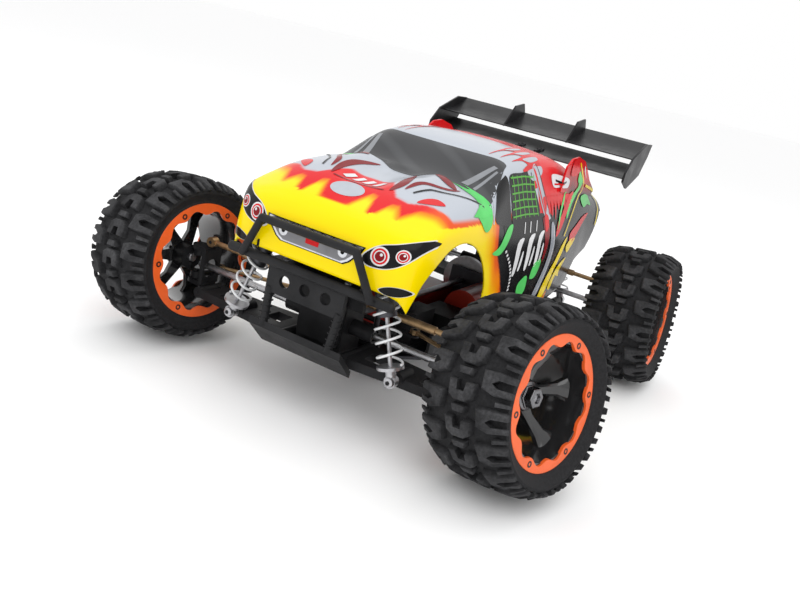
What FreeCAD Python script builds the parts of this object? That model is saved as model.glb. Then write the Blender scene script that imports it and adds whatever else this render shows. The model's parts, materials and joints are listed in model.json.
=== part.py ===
"""A 1/8 scale radio-controlled truggy as separate sub-parts, in millimetres.

-Y is forward, +X is the vehicle's left side, +Z is up and the ground is at zero.
The front wheels are stored steered to the right, as the vehicle was parked.
"""
import FreeCAD, Part
import math
import os
import re

Vector = FreeCAD.Vector
Rotation = FreeCAD.Rotation
Placement = FreeCAD.Placement

DIMENSIONS = {
    "tyre_radius": 74.0,
    "tyre_width": 78.5,
    "wheelbase": 354.0,
    "front_track": 347.8,
    "rear_track": 342.9,
    "rim_radius": 47.0,
    "bead_ring_radius": 52.7,
    "bead_ring_inner_radius": 42.0,
    "bead_ring_plane": 30.8,
    "bead_ring_width": 3.4,
    "back_ring_shift": 3.0,
    "axle_radius": 4.0,
    "bearing_gap": 0.06,
    "arm_inner_x": 30.0,
    "arm_span": 104.0,
    "arm_height": 52.0,
    "arm_thickness": 8.0,
    "link_height": 99.0,
    "pin_radius": 1.5,
    "pin_gap": 0.06,
    "barrel_radius": 5.0,
    "kingpin_x": 149.5,
    "steering_arm": 24.0,
    "steering_height": 68.0,
    "drag_link_offset": 60.0,
    "chassis_thickness": 3.0,
    "chassis_height": 38.0,
    "chassis_half_width": 52.0,
    "shock_top_x": 47.0,
    "shock_top_height": 158.0,
    "shock_low_x": 81.4,
    "shock_low_height": 56.0,
    "shock_offset": 29.0,
    "shock_body_radius": 8.0,
    "shock_rod_radius": 1.75,
    "spring_radius": 9.7,
    "spring_wire_radius": 1.0,
    "shell_thickness": 1.6,
    "arch_radius": 61.0,
    "arch_height": 104.5,
    "arch_offset": 23.0,
    "body_post_top": 172.0,
    "motor_x": 32.2,
    "motor_height": 58.6,
    "drive_height": 70.0,
    "wing_half_span": 122.0,
    "wing_height": 232.0,
}
FRONT_STEER = {"left": 15.4, "right": 9.6}
FRONT_LEAN = {"left": -10.94, "right": -6.13}
REAR_CAMBER = 5.44
SIDES = {"left": 1, "right": -1}
ENDS = {"front": -1, "rear": 1}

doc = FreeCAD.newDocument("truggy")
sheet = doc.addObject("Spreadsheet::Sheet", "Sheet")
for row, (alias, size) in enumerate(DIMENSIONS.items(), start=1):
    sheet.set(f"A{row}", alias)
    sheet.set(f"B{row}", str(size))
    sheet.setAlias(f"B{row}", alias)
doc.recompute()

NODES = {}


def size_of(alias):
    """The sheet's value for an alias."""
    return float(getattr(sheet, alias))


def bound(text):
    """An expression with each alias pointed at the sheet."""
    def sheet_name(match):
        word = match.group(0)
        return f"Sheet.{word}" if word in DIMENSIONS else word

    return re.sub(r"[a-z_]+", sheet_name, str(text))


def bind(thing, **expressions):
    for name, text in expressions.items():
        thing.setExpression(name, bound(text))
    return thing


def locate(thing, place):
    for axis, text in zip("xyz", place):
        thing.setExpression(f"Placement.Base.{axis}", bound(text))
    return thing


def box(name, size, centre):
    """A block given by its full sizes and its centre."""
    block = doc.addObject("Part::Box", name)
    bind(block, Length=size[0], Width=size[1], Height=size[2])
    return locate(block, [f"({c}) - ({s}) / 2" for c, s in zip(centre, size)])


AXIS_TURNS = {
    "x": Rotation(Vector(0, 1, 0), 90),
    "y": Rotation(Vector(1, 0, 0), -90),
    "z": Rotation(),
}


def rod(name, radius, length, start, along="z"):
    """A cylinder from its start point, pointing along a positive axis."""
    bar = doc.addObject("Part::Cylinder", name)
    bar.Placement.Rotation = AXIS_TURNS[along]
    bind(bar, Radius=radius, Height=length)
    return locate(bar, start)


def joined(name, pieces):
    union = doc.addObject("Part::MultiFuse", name)
    union.Shapes = pieces
    return union


def less(name, base, tools):
    """The base with every tool cut away."""
    tool = tools[0] if len(tools) == 1 else joined(f"{name}_tools", tools)
    result = doc.addObject("Part::Cut", name)
    result.Base = base
    result.Tool = tool
    return result


def mirrored(name, source):
    """The source reflected from the left side to the right one."""
    copy = doc.addObject("Part::Mirroring", name)
    copy.Source = source
    copy.Normal = Vector(1, 0, 0)
    return copy


def computed(name, shape):
    """A shape that sketches and primitives don't fit: a loft, a turned profile or a coil."""
    thing = doc.addObject("Part::Feature", name)
    thing.Shape = shape
    return thing


def node(label, thing):
    thing.Label = label
    NODES[label] = thing


def group(name, pieces):
    """Separate solids that share one node."""
    compound = doc.addObject("Part::Compound", name)
    compound.Links = pieces
    return compound


def cylinder_between(start, end, radius):
    direction = end - start
    return Part.makeCylinder(radius, direction.Length, start, direction)


def turned(profile):
    """A solid turned about the X axis from (x, radius) points."""
    points = [Vector(x, 0, radius) for x, radius in profile]
    face = Part.Face(Part.makePolygon(points + [points[0]]))
    return face.revolve(Vector(), Vector(1, 0, 0), 360)


def side_panel(side_view, x, width):
    """A plate with a side view of (y, z) points, from x across a width."""
    points = [Vector(x, y, z) for y, z in side_view]
    return Part.Face(Part.makePolygon(points + [points[0]])).extrude(Vector(width, 0, 0))


# Chassis: the plate, its kicked-up nose and the guards along its sides.

def chassis_plate():
    front = size_of("wheelbase") / 2 + 26
    half = size_of("chassis_half_width")
    low = size_of("chassis_height")
    thick = size_of("chassis_thickness")
    nose_rise = 9.0
    side_view = [(-front, low + nose_rise), (-front + 70, low), (front, low)]
    points = [Vector(0, y, z) for y, z in side_view]
    points += [Vector(0, y, z - thick) for y, z in reversed(side_view)]
    slab = Part.Face(Part.makePolygon(points + [points[0]])).extrude(Vector(2 * half, 0, 0))
    slab.translate(Vector(-half, 0, 0))
    outline = [(24, -front), (24, -130), (half, -92), (half, 92), (24, 130), (24, front)]
    corners = [Vector(x, y, 0) for x, y in outline] + [Vector(-x, y, 0) for x, y in reversed(outline)]
    plan = Part.Face(Part.makePolygon(corners + [corners[0]])).extrude(Vector(0, 0, 100))
    return slab.common(plan)


chassis = computed("chassis", chassis_plate())
floor_z = "chassis_height"
for side, sign in SIDES.items():
    outer = f"{sign} * (chassis_half_width + 2)"
    wall = box(f"{side}_guard_wall", (3, 176, 24), (outer, 0, f"{floor_z} + 9"))
    inner = f"{sign} * (chassis_half_width - 0.3)"
    ledge = box(f"{side}_guard_ledge", (4, 176, 3), (inner, 0, f"{floor_z} + 1.6"))
    flare_x = f"{sign} * (chassis_half_width + 8)"
    flare = box(f"{side}_guard_flare", (16, 150, 3), (flare_x, 0, f"{floor_z} + 22"))
    joined(f"{side}_guard", [wall, ledge, flare])
node("side_guards", group("guards", [doc.getObject(f"{side}_guard") for side in SIDES]))


# Gearboxes with the hinge pins of the arms and links.

def gearbox(end, way):
    axle = f"{way} * wheelbase / 2"
    keel_low = "chassis_height + 9.1" if end == "front" else "chassis_height + 0.1"
    keel_high = "arm_height - 0.9"
    case = box(f"{end}_case", (44, 30, 46), (0, axle, "74"))
    nose = rod(f"{end}_case_nose", 13, 10, (0, f"{axle} - 5 + {-20 * way}", 74), "y")
    keel_size = (44, 58, f"{keel_high} - ({keel_low})")
    keel = box(f"{end}_keel", keel_size, (0, axle, f"({keel_high} + {keel_low}) / 2"))
    pieces = [case, nose, keel]
    for face, shift in (("fore", -27), ("aft", 27)):
        pieces.append(box(f"{end}_{face}_ear", (72, 4, 10.6), (0, f"{axle} + {shift}", "arm_height + 0.6")))
    for side, sign in SIDES.items():
        pin = f"{sign} * arm_inner_x"
        pieces.append(rod(f"{end}_{side}_pin", "pin_radius", 54, (pin, f"{axle} - 27", "arm_height"), "y"))
        lug = box(f"{end}_{side}_lug", (17, 5, 12), (f"{sign} * 27", f"{axle} - 12.5", "link_height"))
        stub = rod(f"{end}_{side}_stub", "pin_radius", 14, (pin, f"{axle} - 12.5", "link_height"), "y")
        pieces += [lug, stub]
    cup = rod(f"{end}_cups", 7, 88, (-44, axle, 74), "x")
    hollows = []
    for side, start in (("left", 34), ("right", -46)):
        hollows.append(rod(f"{end}_{side}_hollow", 5.2, 12, (start, axle, 74), "x"))
    node(f"{end}_gearbox", less(f"{end}_gearbox", joined(f"{end}_gear_case", pieces + [cup]), hollows))


for end, way in ENDS.items():
    gearbox(end, way)


# Shock towers, with the posts that carry the body shell.

def shock_tower(end, way):
    centre = way * (size_of("wheelbase") / 2 + 17)
    top = size_of("shock_top_height")
    reach = size_of("shock_top_x")
    half = [(20, 58), (22, 104), (reach + 8, top - 12), (reach + 6, top + 7), (reach - 8, top + 7),
            (18, 120)]
    outline = [Vector(x, 0, z) for x, z in half] + [Vector(-x, 0, z) for x, z in reversed(half)]
    plate = Part.Face(Part.makePolygon(outline + [outline[0]])).extrude(Vector(0, 4, 0))
    plate.translate(Vector(0, centre - 2, 0))
    shape = plate
    shock_y = way * (size_of("wheelbase") / 2 + size_of("shock_offset"))
    for sign in SIDES.values():
        start = Vector(sign * reach, centre, top)
        pin_end = Vector(sign * reach, shock_y + 5 * way, top)
        shape = shape.fuse(cylinder_between(start, pin_end, 2.0))
        foot = Vector(sign * 24, centre - 4 * way, 112)
        post = Vector(0, 0, size_of("body_post_top") - foot.z)
        shape = shape.fuse(cylinder_between(foot, foot + post, 3.0))
        shape = shape.fuse(cylinder_between(foot, foot + Vector(0, 4 * way, 0), 3.0))
    return shape


for end, way in ENDS.items():
    node(f"{end}_shock_tower", computed(f"{end}_tower", shock_tower(end, way)))


# Arms, links and hub carriers. The left ones are drawn and the right ones mirror them.

def lower_arm(end, way):
    """A tapered plate between two barrels, forked at its outer end."""
    axle = way * size_of("wheelbase") / 2
    inner_x = size_of("arm_inner_x")
    outer_x = inner_x + size_of("arm_span")
    height = size_of("arm_height")
    thick = size_of("arm_thickness")
    bore = size_of("pin_radius") + size_of("pin_gap")
    barrel = size_of("barrel_radius")
    half = [(inner_x + 1, 24), (inner_x + 45, 18), (outer_x, 14)]
    outline = [Vector(x, axle - y, height - thick / 2) for x, y in half]
    outline += [Vector(x, axle + y, height - thick / 2) for x, y in reversed(half)]
    shape = Part.Face(Part.makePolygon(outline + [outline[0]])).extrude(Vector(0, 0, thick))
    shape = shape.fuse(Part.makeCylinder(barrel, 48, Vector(inner_x, axle - 24, height), Vector(0, 1, 0)))
    shape = shape.fuse(Part.makeCylinder(barrel, 28, Vector(outer_x, axle - 14, height), Vector(0, 1, 0)))
    low = Vector(size_of("shock_low_x"), axle, size_of("shock_low_height"))
    boss = Part.makeCylinder(5, 20, low, Vector(0, way, 0))
    screw = Part.makeCylinder(1.5, size_of("shock_offset") + 6, low, Vector(0, way, 0))
    shape = shape.fuse([boss, screw])
    shape = shape.cut(Part.makeCylinder(bore, 60, Vector(inner_x, axle - 30, height), Vector(0, 1, 0)))
    shape = shape.cut(Part.makeCylinder(bore, 60, Vector(outer_x, axle - 30, height), Vector(0, 1, 0)))
    shape = shape.cut(Part.makeBox(20, 17, 20, Vector(outer_x - 8, axle - 8.5, height - 10)))
    for pocket_x in (inner_x + 14, inner_x + 66):
        shape = shape.cut(Part.makeBox(16, 20, 20, Vector(pocket_x, axle - 10, height - 10)))
    return shape


def upper_link(end, way):
    """A turnbuckle with an eye at each end."""
    link_y = way * size_of("wheelbase") / 2 - 4
    inner_x = size_of("arm_inner_x")
    height = size_of("link_height")
    bore = size_of("pin_radius") + size_of("pin_gap")
    across = Vector(0, 1, 0)
    bar = Part.makeCylinder(2.4, size_of("arm_span"), Vector(inner_x, link_y, height), Vector(1, 0, 0))
    eyes = []
    holes = []
    for eye_x in (inner_x, inner_x + size_of("arm_span")):
        eyes.append(Part.makeCylinder(4.5, 7, Vector(eye_x, link_y - 3.5, height), across))
        holes.append(Part.makeCylinder(bore, 20, Vector(eye_x, link_y - 10, height), across))
    sleeve = Part.makeCylinder(3.4, 30, Vector(inner_x + 37, link_y, height), Vector(1, 0, 0))
    return bar.fuse(eyes + [sleeve]).cut(Part.makeCompound(holes))


def carrier_lugs(axle):
    """The pin block below and the link stub above, shared by all hub carriers."""
    outer_x = size_of("arm_inner_x") + size_of("arm_span")
    low = size_of("arm_height")
    high = size_of("link_height")
    pin = size_of("pin_radius")
    block = Part.makeCylinder(5, 16, Vector(outer_x, axle - 8, low), Vector(0, 1, 0))
    hinge = Part.makeCylinder(pin, 27, Vector(outer_x, axle - 13.5, low), Vector(0, 1, 0))
    lug = Part.makeBox(8, 4, 12, Vector(outer_x - 3.5, axle + 0.5, high - 7))
    stub = Part.makeCylinder(pin, 9, Vector(outer_x, axle - 8, high), Vector(0, 1, 0))
    neck = Part.makeBox(4, 16, 10, Vector(outer_x + 0.5, axle - 8, low))
    return [block, hinge, lug, stub, neck]


def front_carrier():
    """The C-shaped carrier that holds the steering knuckle between two kingpin screws."""
    axle = -size_of("wheelbase") / 2
    outer_x = size_of("arm_inner_x") + size_of("arm_span")
    king_x = size_of("kingpin_x")
    web = Part.makeBox(4, 22, 34, Vector(outer_x + 0.5, axle - 11, 58.5))
    shape = web.fuse(carrier_lugs(axle))
    for ear_low, pin_low in ((55.5, 58), (87.5, 83)):
        ear = Part.makeBox(king_x - outer_x, 16, 4, Vector(outer_x, axle - 8, ear_low))
        shape = shape.fuse([ear, Part.makeCylinder(8, 4, Vector(king_x, axle, ear_low))])
        shape = shape.fuse(Part.makeCylinder(2, 6, Vector(king_x, axle, pin_low)))
    return shape.cut(Part.makeCylinder(9, 30, Vector(outer_x - 10, axle, 73), Vector(1, 0, 0)))


def rear_carrier():
    """The carrier that holds the rear axle's bearing."""
    axle = size_of("wheelbase") / 2
    outer_x = size_of("arm_inner_x") + size_of("arm_span")
    bore = size_of("axle_radius") + size_of("bearing_gap")
    web = Part.makeBox(5, 24, 34, Vector(outer_x + 0.5, axle - 12, 58.5))
    shape = web.fuse(carrier_lugs(axle))
    hub, spin = wheel_pose("rear", "left")
    housing = Part.makeCylinder(11, 20, hub - spin * 34, spin)
    passage = Part.makeCylinder(8, 30, Vector(outer_x - 10, axle, 73), Vector(1, 0, 0))
    return shape.fuse(housing).cut(passage).cut(Part.makeCylinder(bore, 60, hub - spin * 50, spin))


def tread_profile():
    """Half of the tread's outline, as (distance from the middle, radius) points."""
    half = size_of("tyre_width") / 2
    radius = size_of("tyre_radius")
    shoulder = [(half * 0.4, radius), (half * 0.74, radius - 1.6), (half - 2.5, radius - 4.5)]
    sidewall = [(half, radius - 8), (half - 3, radius - 13), (half - 6.5, radius - 18)]
    return shoulder + sidewall


def wheel_pose(end, side):
    """A wheel's centre, which puts its lowest tread on the ground, and its axle's outward direction."""
    sign = SIDES[side]
    track = size_of(f"{end}_track")
    steer = math.radians(FRONT_STEER[side]) if end == "front" else 0.0
    lean = math.radians(FRONT_LEAN[side] if end == "front" else -sign * REAR_CAMBER)
    height = max(radius * math.cos(lean) + x * abs(math.sin(lean)) for x, radius in tread_profile())
    centre = Vector(sign * track / 2, ENDS[end] * size_of("wheelbase") / 2, height)
    left_axis = Vector(math.cos(steer) * math.cos(lean), -math.sin(steer) * math.cos(lean), -math.sin(lean))
    return centre, left_axis * sign


def steering_offset():
    """From a kingpin to its steering ball, turned with the wheels to the right."""
    turn = math.radians((FRONT_STEER["left"] + FRONT_STEER["right"]) / 2)
    return Vector(math.sin(turn), math.cos(turn), 0) * size_of("steering_arm")


def steering_knuckle(side):
    """The bearing housing between two kingpin bosses, with its steering arm."""
    sign = SIDES[side]
    axle = -size_of("wheelbase") / 2
    hub, spin = wheel_pose("front", side)
    king = Vector(sign * size_of("kingpin_x"), axle, 0)
    bore = size_of("axle_radius") + size_of("bearing_gap")
    upright = Vector(0, 0, 1)
    shape = Part.makeCylinder(11, 13, hub - spin * 17, spin)
    for boss_low in (60, 81):
        boss = Part.makeCylinder(6.5, 6, king + upright * boss_low)
        strut_end = hub - spin * 12 + upright * (boss_low - 70) * 0.3
        strut = cylinder_between(king + upright * (boss_low + 3), strut_end, 3.0)
        shape = shape.fuse([boss, strut])
    height = size_of("steering_height")
    ball = king + steering_offset() + upright * height
    arm_start = king + upright * 63
    arm = cylinder_between(arm_start, ball - upright * 5, 2.6)
    stud = Part.makeCylinder(1.5, 7, ball - upright * 6)
    shape = shape.fuse([arm, stud, Part.makeSphere(2.6, ball)])
    shape = shape.cut(Part.makeCylinder(bore, 60, hub - spin * 40, spin))
    shape = shape.cut(Part.makeCylinder(2.06, 60, king + upright * 50))
    keep_out = Part.makeCylinder(7.2, 14, king + upright * 66.5)
    return shape.cut(keep_out)


def half_shaft(end, way):
    """The dogbone from the gearbox output to the wheel's hub."""
    axle = way * size_of("wheelbase") / 2
    start = Vector(size_of("arm_inner_x") + 10, axle, 74)
    far = start + Vector(size_of("arm_span"), 0, 0)
    bar = cylinder_between(start, far, 3.0)
    return bar.fuse([Part.makeSphere(4.8, start), Part.makeSphere(4.8, far)])


for end, way in ENDS.items():
    makers = {"lower_arm": lower_arm, "upper_link": upper_link, "half_shaft": half_shaft}
    left_shapes = {piece: make(end, way) for piece, make in makers.items()}
    left_shapes["hub_carrier"] = front_carrier() if end == "front" else rear_carrier()
    for piece, shape in left_shapes.items():
        left = computed(f"{end}_left_{piece}", shape)
        node(f"{end}_left_{piece}", left)
        node(f"{end}_right_{piece}", mirrored(f"{end}_right_{piece}", left))
for side in SIDES:
    node(f"{side}_steering_knuckle", computed(f"{side}_knuckle", steering_knuckle(side)))


# Shock absorbers, drawn upright at the origin and leaned into place.

def shock_pose(end, way):
    """The upper pin, the direction down the shock and the length between its pins."""
    shock_y = way * (size_of("wheelbase") / 2 + size_of("shock_offset"))
    top = Vector(size_of("shock_top_x"), shock_y, size_of("shock_top_height"))
    low = Vector(size_of("shock_low_x"), shock_y, size_of("shock_low_height"))
    length = (low - top).Length
    lean = Rotation(Vector(0, 0, -1), low - top)
    return Placement(top, lean), length


def shock_body():
    """The eye, cap, cylinder and spring collar, with the cylinder bored for the piston."""
    radius = size_of("shock_body_radius")
    eye = Part.makeCylinder(5, 8, Vector(0, -4, 0), Vector(0, 1, 0))
    cap = Part.makeCylinder(radius + 0.7, 8, Vector(0, 0, -13))
    neck = Part.makeCylinder(4.5, 6, Vector(0, 0, -7))
    tube = Part.makeCylinder(radius, 44, Vector(0, 0, -56))
    collar = Part.makeCylinder(radius + 2.6, 4, Vector(0, 0, -26))
    bore = Part.makeCylinder(radius - 1.6, 41, Vector(0, 0, -54))
    seal = Part.makeCylinder(size_of("shock_rod_radius") + 0.06, 10, Vector(0, 0, -60))
    pin_hole = Part.makeCylinder(2.06, 20, Vector(0, -10, 0), Vector(0, 1, 0))
    return eye.fuse([cap, neck, tube, collar]).cut(bore).cut(seal).cut(pin_hole)


def shock_rod(length):
    """The piston, its rod, the spring cup and the lower eye."""
    radius = size_of("shock_rod_radius")
    piston = Part.makeCylinder(size_of("shock_body_radius") - 1.66, 2.4, Vector(0, 0, -38))
    bar = Part.makeCylinder(radius, length - 40, Vector(0, 0, 4 - length))
    cup = Part.makeCylinder(size_of("spring_radius") + 1.2, 2.4, Vector(0, 0, 10 - length))
    socket = Part.makeCylinder(4.2, 10, Vector(0, 0, 1 - length))
    eye = Part.makeCylinder(5, 7, Vector(0, -3.5, -length), Vector(0, 1, 0))
    hole = Part.makeCylinder(size_of("pin_radius") + 1.0, 20, Vector(0, -10, -length), Vector(0, 1, 0))
    return piston.fuse([bar, cup, socket, eye]).cut(hole)


def spring(length):
    """An open coil between the collar and the cup, bent from half rings that tilt to and fro."""
    low = 13.5 - length
    high = -27.2
    half_turns = 12
    rise = (high - low) / half_turns
    radius = size_of("spring_radius")
    bend = math.hypot(radius, rise / 2)
    tilt = math.degrees(math.atan2(rise / 2, radius))
    halves = []
    for index in range(half_turns):
        half = Part.Arc(Vector(bend, 0, 0), Vector(0, bend, 0), Vector(-bend, 0, 0)).toShape()
        half.rotate(Vector(), Vector(0, 1, 0), tilt)
        half.rotate(Vector(), Vector(0, 0, 1), 180 * index)
        half.translate(Vector(0, 0, low + rise * (index + 0.5)))
        halves.append(half)
    start = Vector(radius, 0, low)
    section = Part.Wire(Part.makeCircle(size_of("spring_wire_radius"), start, Vector(0, 1, 0)))
    return Part.Wire(halves).makePipeShell([section], True, True)


for end, way in ENDS.items():
    pose, length = shock_pose(end, way)
    shapes = {"shock_body": shock_body(), "shock_rod": shock_rod(length), "spring": spring(length)}
    for piece, shape in shapes.items():
        left = computed(f"{end}_left_{piece}", shape)
        left.Placement = pose.multiply(left.Placement)
        node(f"{end}_left_{piece}", left)
        node(f"{end}_right_{piece}", mirrored(f"{end}_right_{piece}", left))


# Wheels.

def tyre():
    """A crowned carcass, hollow inside, with a bead in the groove behind each ring of the rim."""
    half = size_of("tyre_width") / 2
    radius = size_of("tyre_radius")
    plane = size_of("bead_ring_plane")
    ring_width = size_of("bead_ring_width")
    gap = 0.2
    bead_width = 4.5
    bead_low = size_of("rim_radius") + gap
    bead_high = size_of("bead_ring_radius") + 2 * gap
    front = plane - ring_width - gap
    back = front + size_of("back_ring_shift")
    right = tread_profile()
    outer = [(-x, r) for x, r in reversed(right)] + right
    front_bead = [(plane + gap, bead_high), (front, bead_high), (front, bead_low),
                  (front - bead_width, bead_low)]
    cavity = [(half - 14, bead_high), (half - 10, radius - 16.5), (half - 12, radius - 9)]
    cavity += [(-x, r) for x, r in reversed(cavity)]
    back_bead = [(bead_width - back, bead_low), (-back, bead_low), (-back, bead_high),
                 (-back - ring_width - 2 * gap, bead_high)]
    return turned(outer + front_bead + cavity + back_bead)


def rim():
    """The barrel, the dished spokes, both bead rings, and the axle with its hexagon and nut."""
    radius = size_of("rim_radius")
    plane = size_of("bead_ring_plane")
    ring = size_of("bead_ring_radius")
    opening = size_of("bead_ring_inner_radius")
    width = size_of("bead_ring_width")
    back = -plane - size_of("back_ring_shift")
    barrel = [(back, opening), (back, ring), (back + width, ring), (back + width, radius),
              (plane - width, radius), (plane - width, ring), (plane, ring), (plane, opening),
              (plane - 6, opening), (4, opening + 2), (-8, opening + 2), (-12, opening + 2.6)]
    shape = turned(barrel)
    shape = shape.fuse(turned([(-2, 0), (-2, 11), (4, 13), (4, 0)]))
    for index in range(6):
        spoke = Part.makeBox(6, 12, opening - 6, Vector(-3, -6, 8))
        spoke.rotate(Vector(), Vector(1, 0, 0), 60 * index)
        shape = shape.fuse(spoke)
    axle = Part.makeCylinder(size_of("axle_radius"), 34, Vector(-20, 0, 0), Vector(1, 0, 0))
    hexagon = Part.Face(Part.makePolygon([Vector(-3.5, 9.8 * math.cos(a), 9.8 * math.sin(a))
                                          for a in [math.radians(60 * i) for i in range(7)]]))
    hub = hexagon.extrude(Vector(3.5, 0, 0))
    nut = hexagon.extrude(Vector(7, 0, 0))
    nut.translate(Vector(7, 0, 0))
    return shape.fuse([axle, hub, nut])


tyre_shape = tyre()
rim_shape = rim()
for end in ENDS:
    for side in SIDES:
        centre, spin = wheel_pose(end, side)
        turn = Rotation(spin, Vector(), Vector(0, 0, 1), "XZY")
        for piece, shape in (("tyre", tyre_shape), ("rim", rim_shape)):
            wheel_part = computed(f"{end}_{side}_{piece}", shape)
            wheel_part.Placement = Placement(centre, turn)
            node(f"{end}_{side}_{piece}", wheel_part)


# Steering: two bellcranks, the drag link between them and the tie rods.

def bellcrank_post(side):
    offset = steering_offset()
    drag_y = -size_of("wheelbase") / 2 + size_of("drag_link_offset")
    return Vector(SIDES[side] * 24, drag_y - offset.y, 0)


def bellcrank(side):
    upright = Vector(0, 0, 1)
    post = bellcrank_post(side)
    height = size_of("steering_height")
    tip = post + steering_offset()
    hub = Part.makeCylinder(6, 24, post + upright * 44)
    arm = cylinder_between(post + upright * (height - 8), tip + upright * (height - 8), 3.0)
    stud = Part.makeCylinder(1.5, 16, tip + upright * (height - 8))
    shape = hub.fuse([arm, Part.makeCylinder(4, 4, tip + upright * (height - 10)), stud])
    return shape.cut(Part.makeCylinder(2.56, 60, post + upright * 30))


def drag_link():
    """The plate that joins the bellcranks and carries the inner balls of the tie rods."""
    height = size_of("steering_height")
    drag_y = -size_of("wheelbase") / 2 + size_of("drag_link_offset")
    balls = [tie_rod_ends(side)[0] for side in SIDES]
    left, right = max(b.x for b in balls), min(b.x for b in balls)
    thick = 1.6
    under = 4.7
    shape = Part.makeBox(left - right, 9, thick, Vector(right, drag_y - 4.5, height - under))
    for ball in balls:
        foot = ball - Vector(0, 0, under)
        shape = shape.fuse([Part.makeCylinder(4.5, thick, foot), Part.makeCylinder(1.5, under, foot)])
        shape = shape.fuse(Part.makeSphere(2.6, ball))
    for side in SIDES:
        tip = bellcrank_post(side) + steering_offset()
        shape = shape.cut(Part.makeCylinder(1.56, 40, tip + Vector(0, 0, height - 20)))
    return shape


def tie_rod_ends(side):
    """The inner and outer balls, as far apart across the vehicle as the pins of an arm."""
    sign = SIDES[side]
    height = size_of("steering_height")
    axle = -size_of("wheelbase") / 2
    outer = Vector(sign * size_of("kingpin_x"), axle, height) + steering_offset()
    inner = Vector(outer.x - sign * size_of("arm_span"), axle + size_of("drag_link_offset"), height)
    return inner, outer


def tie_rod(side):
    inner, outer = tie_rod_ends(side)
    shape = cylinder_between(inner, outer, 2.0)
    for ball in (inner, outer):
        shape = shape.fuse(Part.makeCylinder(4.4, 4.0, ball - Vector(0, 0, 2.0)))
    for ball in (inner, outer):
        shape = shape.cut(Part.makeSphere(2.7, ball))
        shape = shape.cut(Part.makeCylinder(2.3, 12, ball - Vector(0, 0, 6)))
    return shape


for side in SIDES:
    node(f"{side}_bellcrank", computed(f"{side}_crank", bellcrank(side)))
    node(f"{side}_tie_rod", computed(f"{side}_rod", tie_rod(side)))
node("drag_link", computed("drag", drag_link()))


# Power: servo, battery, motor, speed controller and the centre drive.

servo_case = box("servo_case", (20, 40, 34), (24, -66, "chassis_height + 17.1"))
servo_foot = box("servo_foot", (24, 54, 4), (24, -66, "chassis_height + 2.1"))
servo_shaft = rod("servo_shaft", 3, 8, (24, -78, "chassis_height + 33"))
servo_post = []
for side in SIDES:
    post = bellcrank_post(side)
    servo_post.append(rod(f"{side}_post", 2.5, 40, (post.x, post.y, "chassis_height + 2")))
post_bridge = box("post_bridge", (60, 10, 3), (0, post.y, "chassis_height + 1.6"))
node("chassis_plate", joined("chassis_with_posts", [chassis, post_bridge] + servo_post))
node("steering_servo", joined("servo", [servo_case, servo_foot, servo_shaft]))
node("battery_pack", box("battery", (44, 138, 26), ("-chassis_half_width + 25", 8, "chassis_height + 13.1")))
node("speed_controller", box("controller", (34, 44, 24), (28, -10, "chassis_height + 12.1")))

can = rod("motor_can", 19.5, 62, ("motor_x", 22, "motor_height"), "y")
shaft = rod("motor_shaft", 2.5, 16, ("motor_x", 84, "motor_height"), "y")
node("drive_motor", joined("motor", [can, shaft]))

mount_plate = box("mount_plate", (64, 4, 46), (17, 87, "chassis_height + 23.1"))
mount_hole = rod("mount_hole", 8, 20, ("motor_x", 78, "motor_height"), "y")
drive_hole = rod("drive_hole", 3.1, 20, (0, 78, "drive_height"), "y")
node("motor_mount", less("mount", mount_plate, [mount_hole, drive_hole]))

pinion = rod("pinion_gear", 8, 8, ("motor_x", 91, "motor_height"), "y")
pinion_hole = rod("pinion_hole", 2.5, 20, ("motor_x", 85, "motor_height"), "y")
node("motor_pinion", less("pinion", pinion, [pinion_hole]))

spur = rod("spur_disc", 26, 6, (0, 92, "drive_height"), "y")
drive_shaft = rod("drive_shaft", 3, 302, (0, -151, "drive_height"), "y")
node("centre_drive", joined("spur", [spur, drive_shaft]))


# Bumper, wing and body shell.

def front_bumper():
    """The deck with its bull bar, the drilled panel, the struts and the sloping skid plate."""
    nose = -size_of("wheelbase") / 2 - 30
    bar_y = nose - 19
    bar_z = 118.0
    bar_reach = 76.0
    hoop_y = nose - 29.5
    hoop_z = 153.0
    tube = 3.2
    shape = side_panel([(nose, 44), (nose - 22, 64), (nose - 22, 70), (nose, 50)], -45, 90)
    panel = Part.makeBox(74, 4, 24, Vector(-37, bar_y, bar_z - 24))
    for hole_x in (-20, 0, 20):
        panel = panel.cut(Part.makeCylinder(5, 20, Vector(hole_x, bar_y - 8, bar_z - 12), Vector(0, 1, 0)))
    deck = Part.makeBox(84, 24, 4, Vector(-42, bar_y, bar_z - 2))
    tongue = Part.makeBox(30, 14.8, 4, Vector(-15, nose - 4, bar_z - 2))
    shape = shape.fuse([panel, deck, tongue])
    for sign in SIDES.values():
        foot = Vector(sign * 62, bar_y - 5, bar_z)
        corner = Vector(sign * 44, hoop_y, hoop_z)
        tip = Vector(sign * bar_reach, bar_y, bar_z + 1)
        side_bar = cylinder_between(foot, corner, tube)
        shape = shape.fuse([side_bar, Part.makeSphere(tube, corner), Part.makeSphere(4, tip)])
        strut_low = Vector(sign * 32, nose - 20, 66)
        strut_high = Vector(sign * 34, bar_y + 2, bar_z - 20)
        shape = shape.fuse(cylinder_between(strut_low, strut_high, 3.4))
    ends = [Vector(sign * bar_reach, bar_y, bar_z + 1) for sign in SIDES.values()]
    shape = shape.fuse(cylinder_between(ends[0], ends[1], 4))
    return shape.fuse(cylinder_between(Vector(-44, hoop_y, hoop_z), Vector(44, hoop_y, hoop_z), tube))


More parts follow.
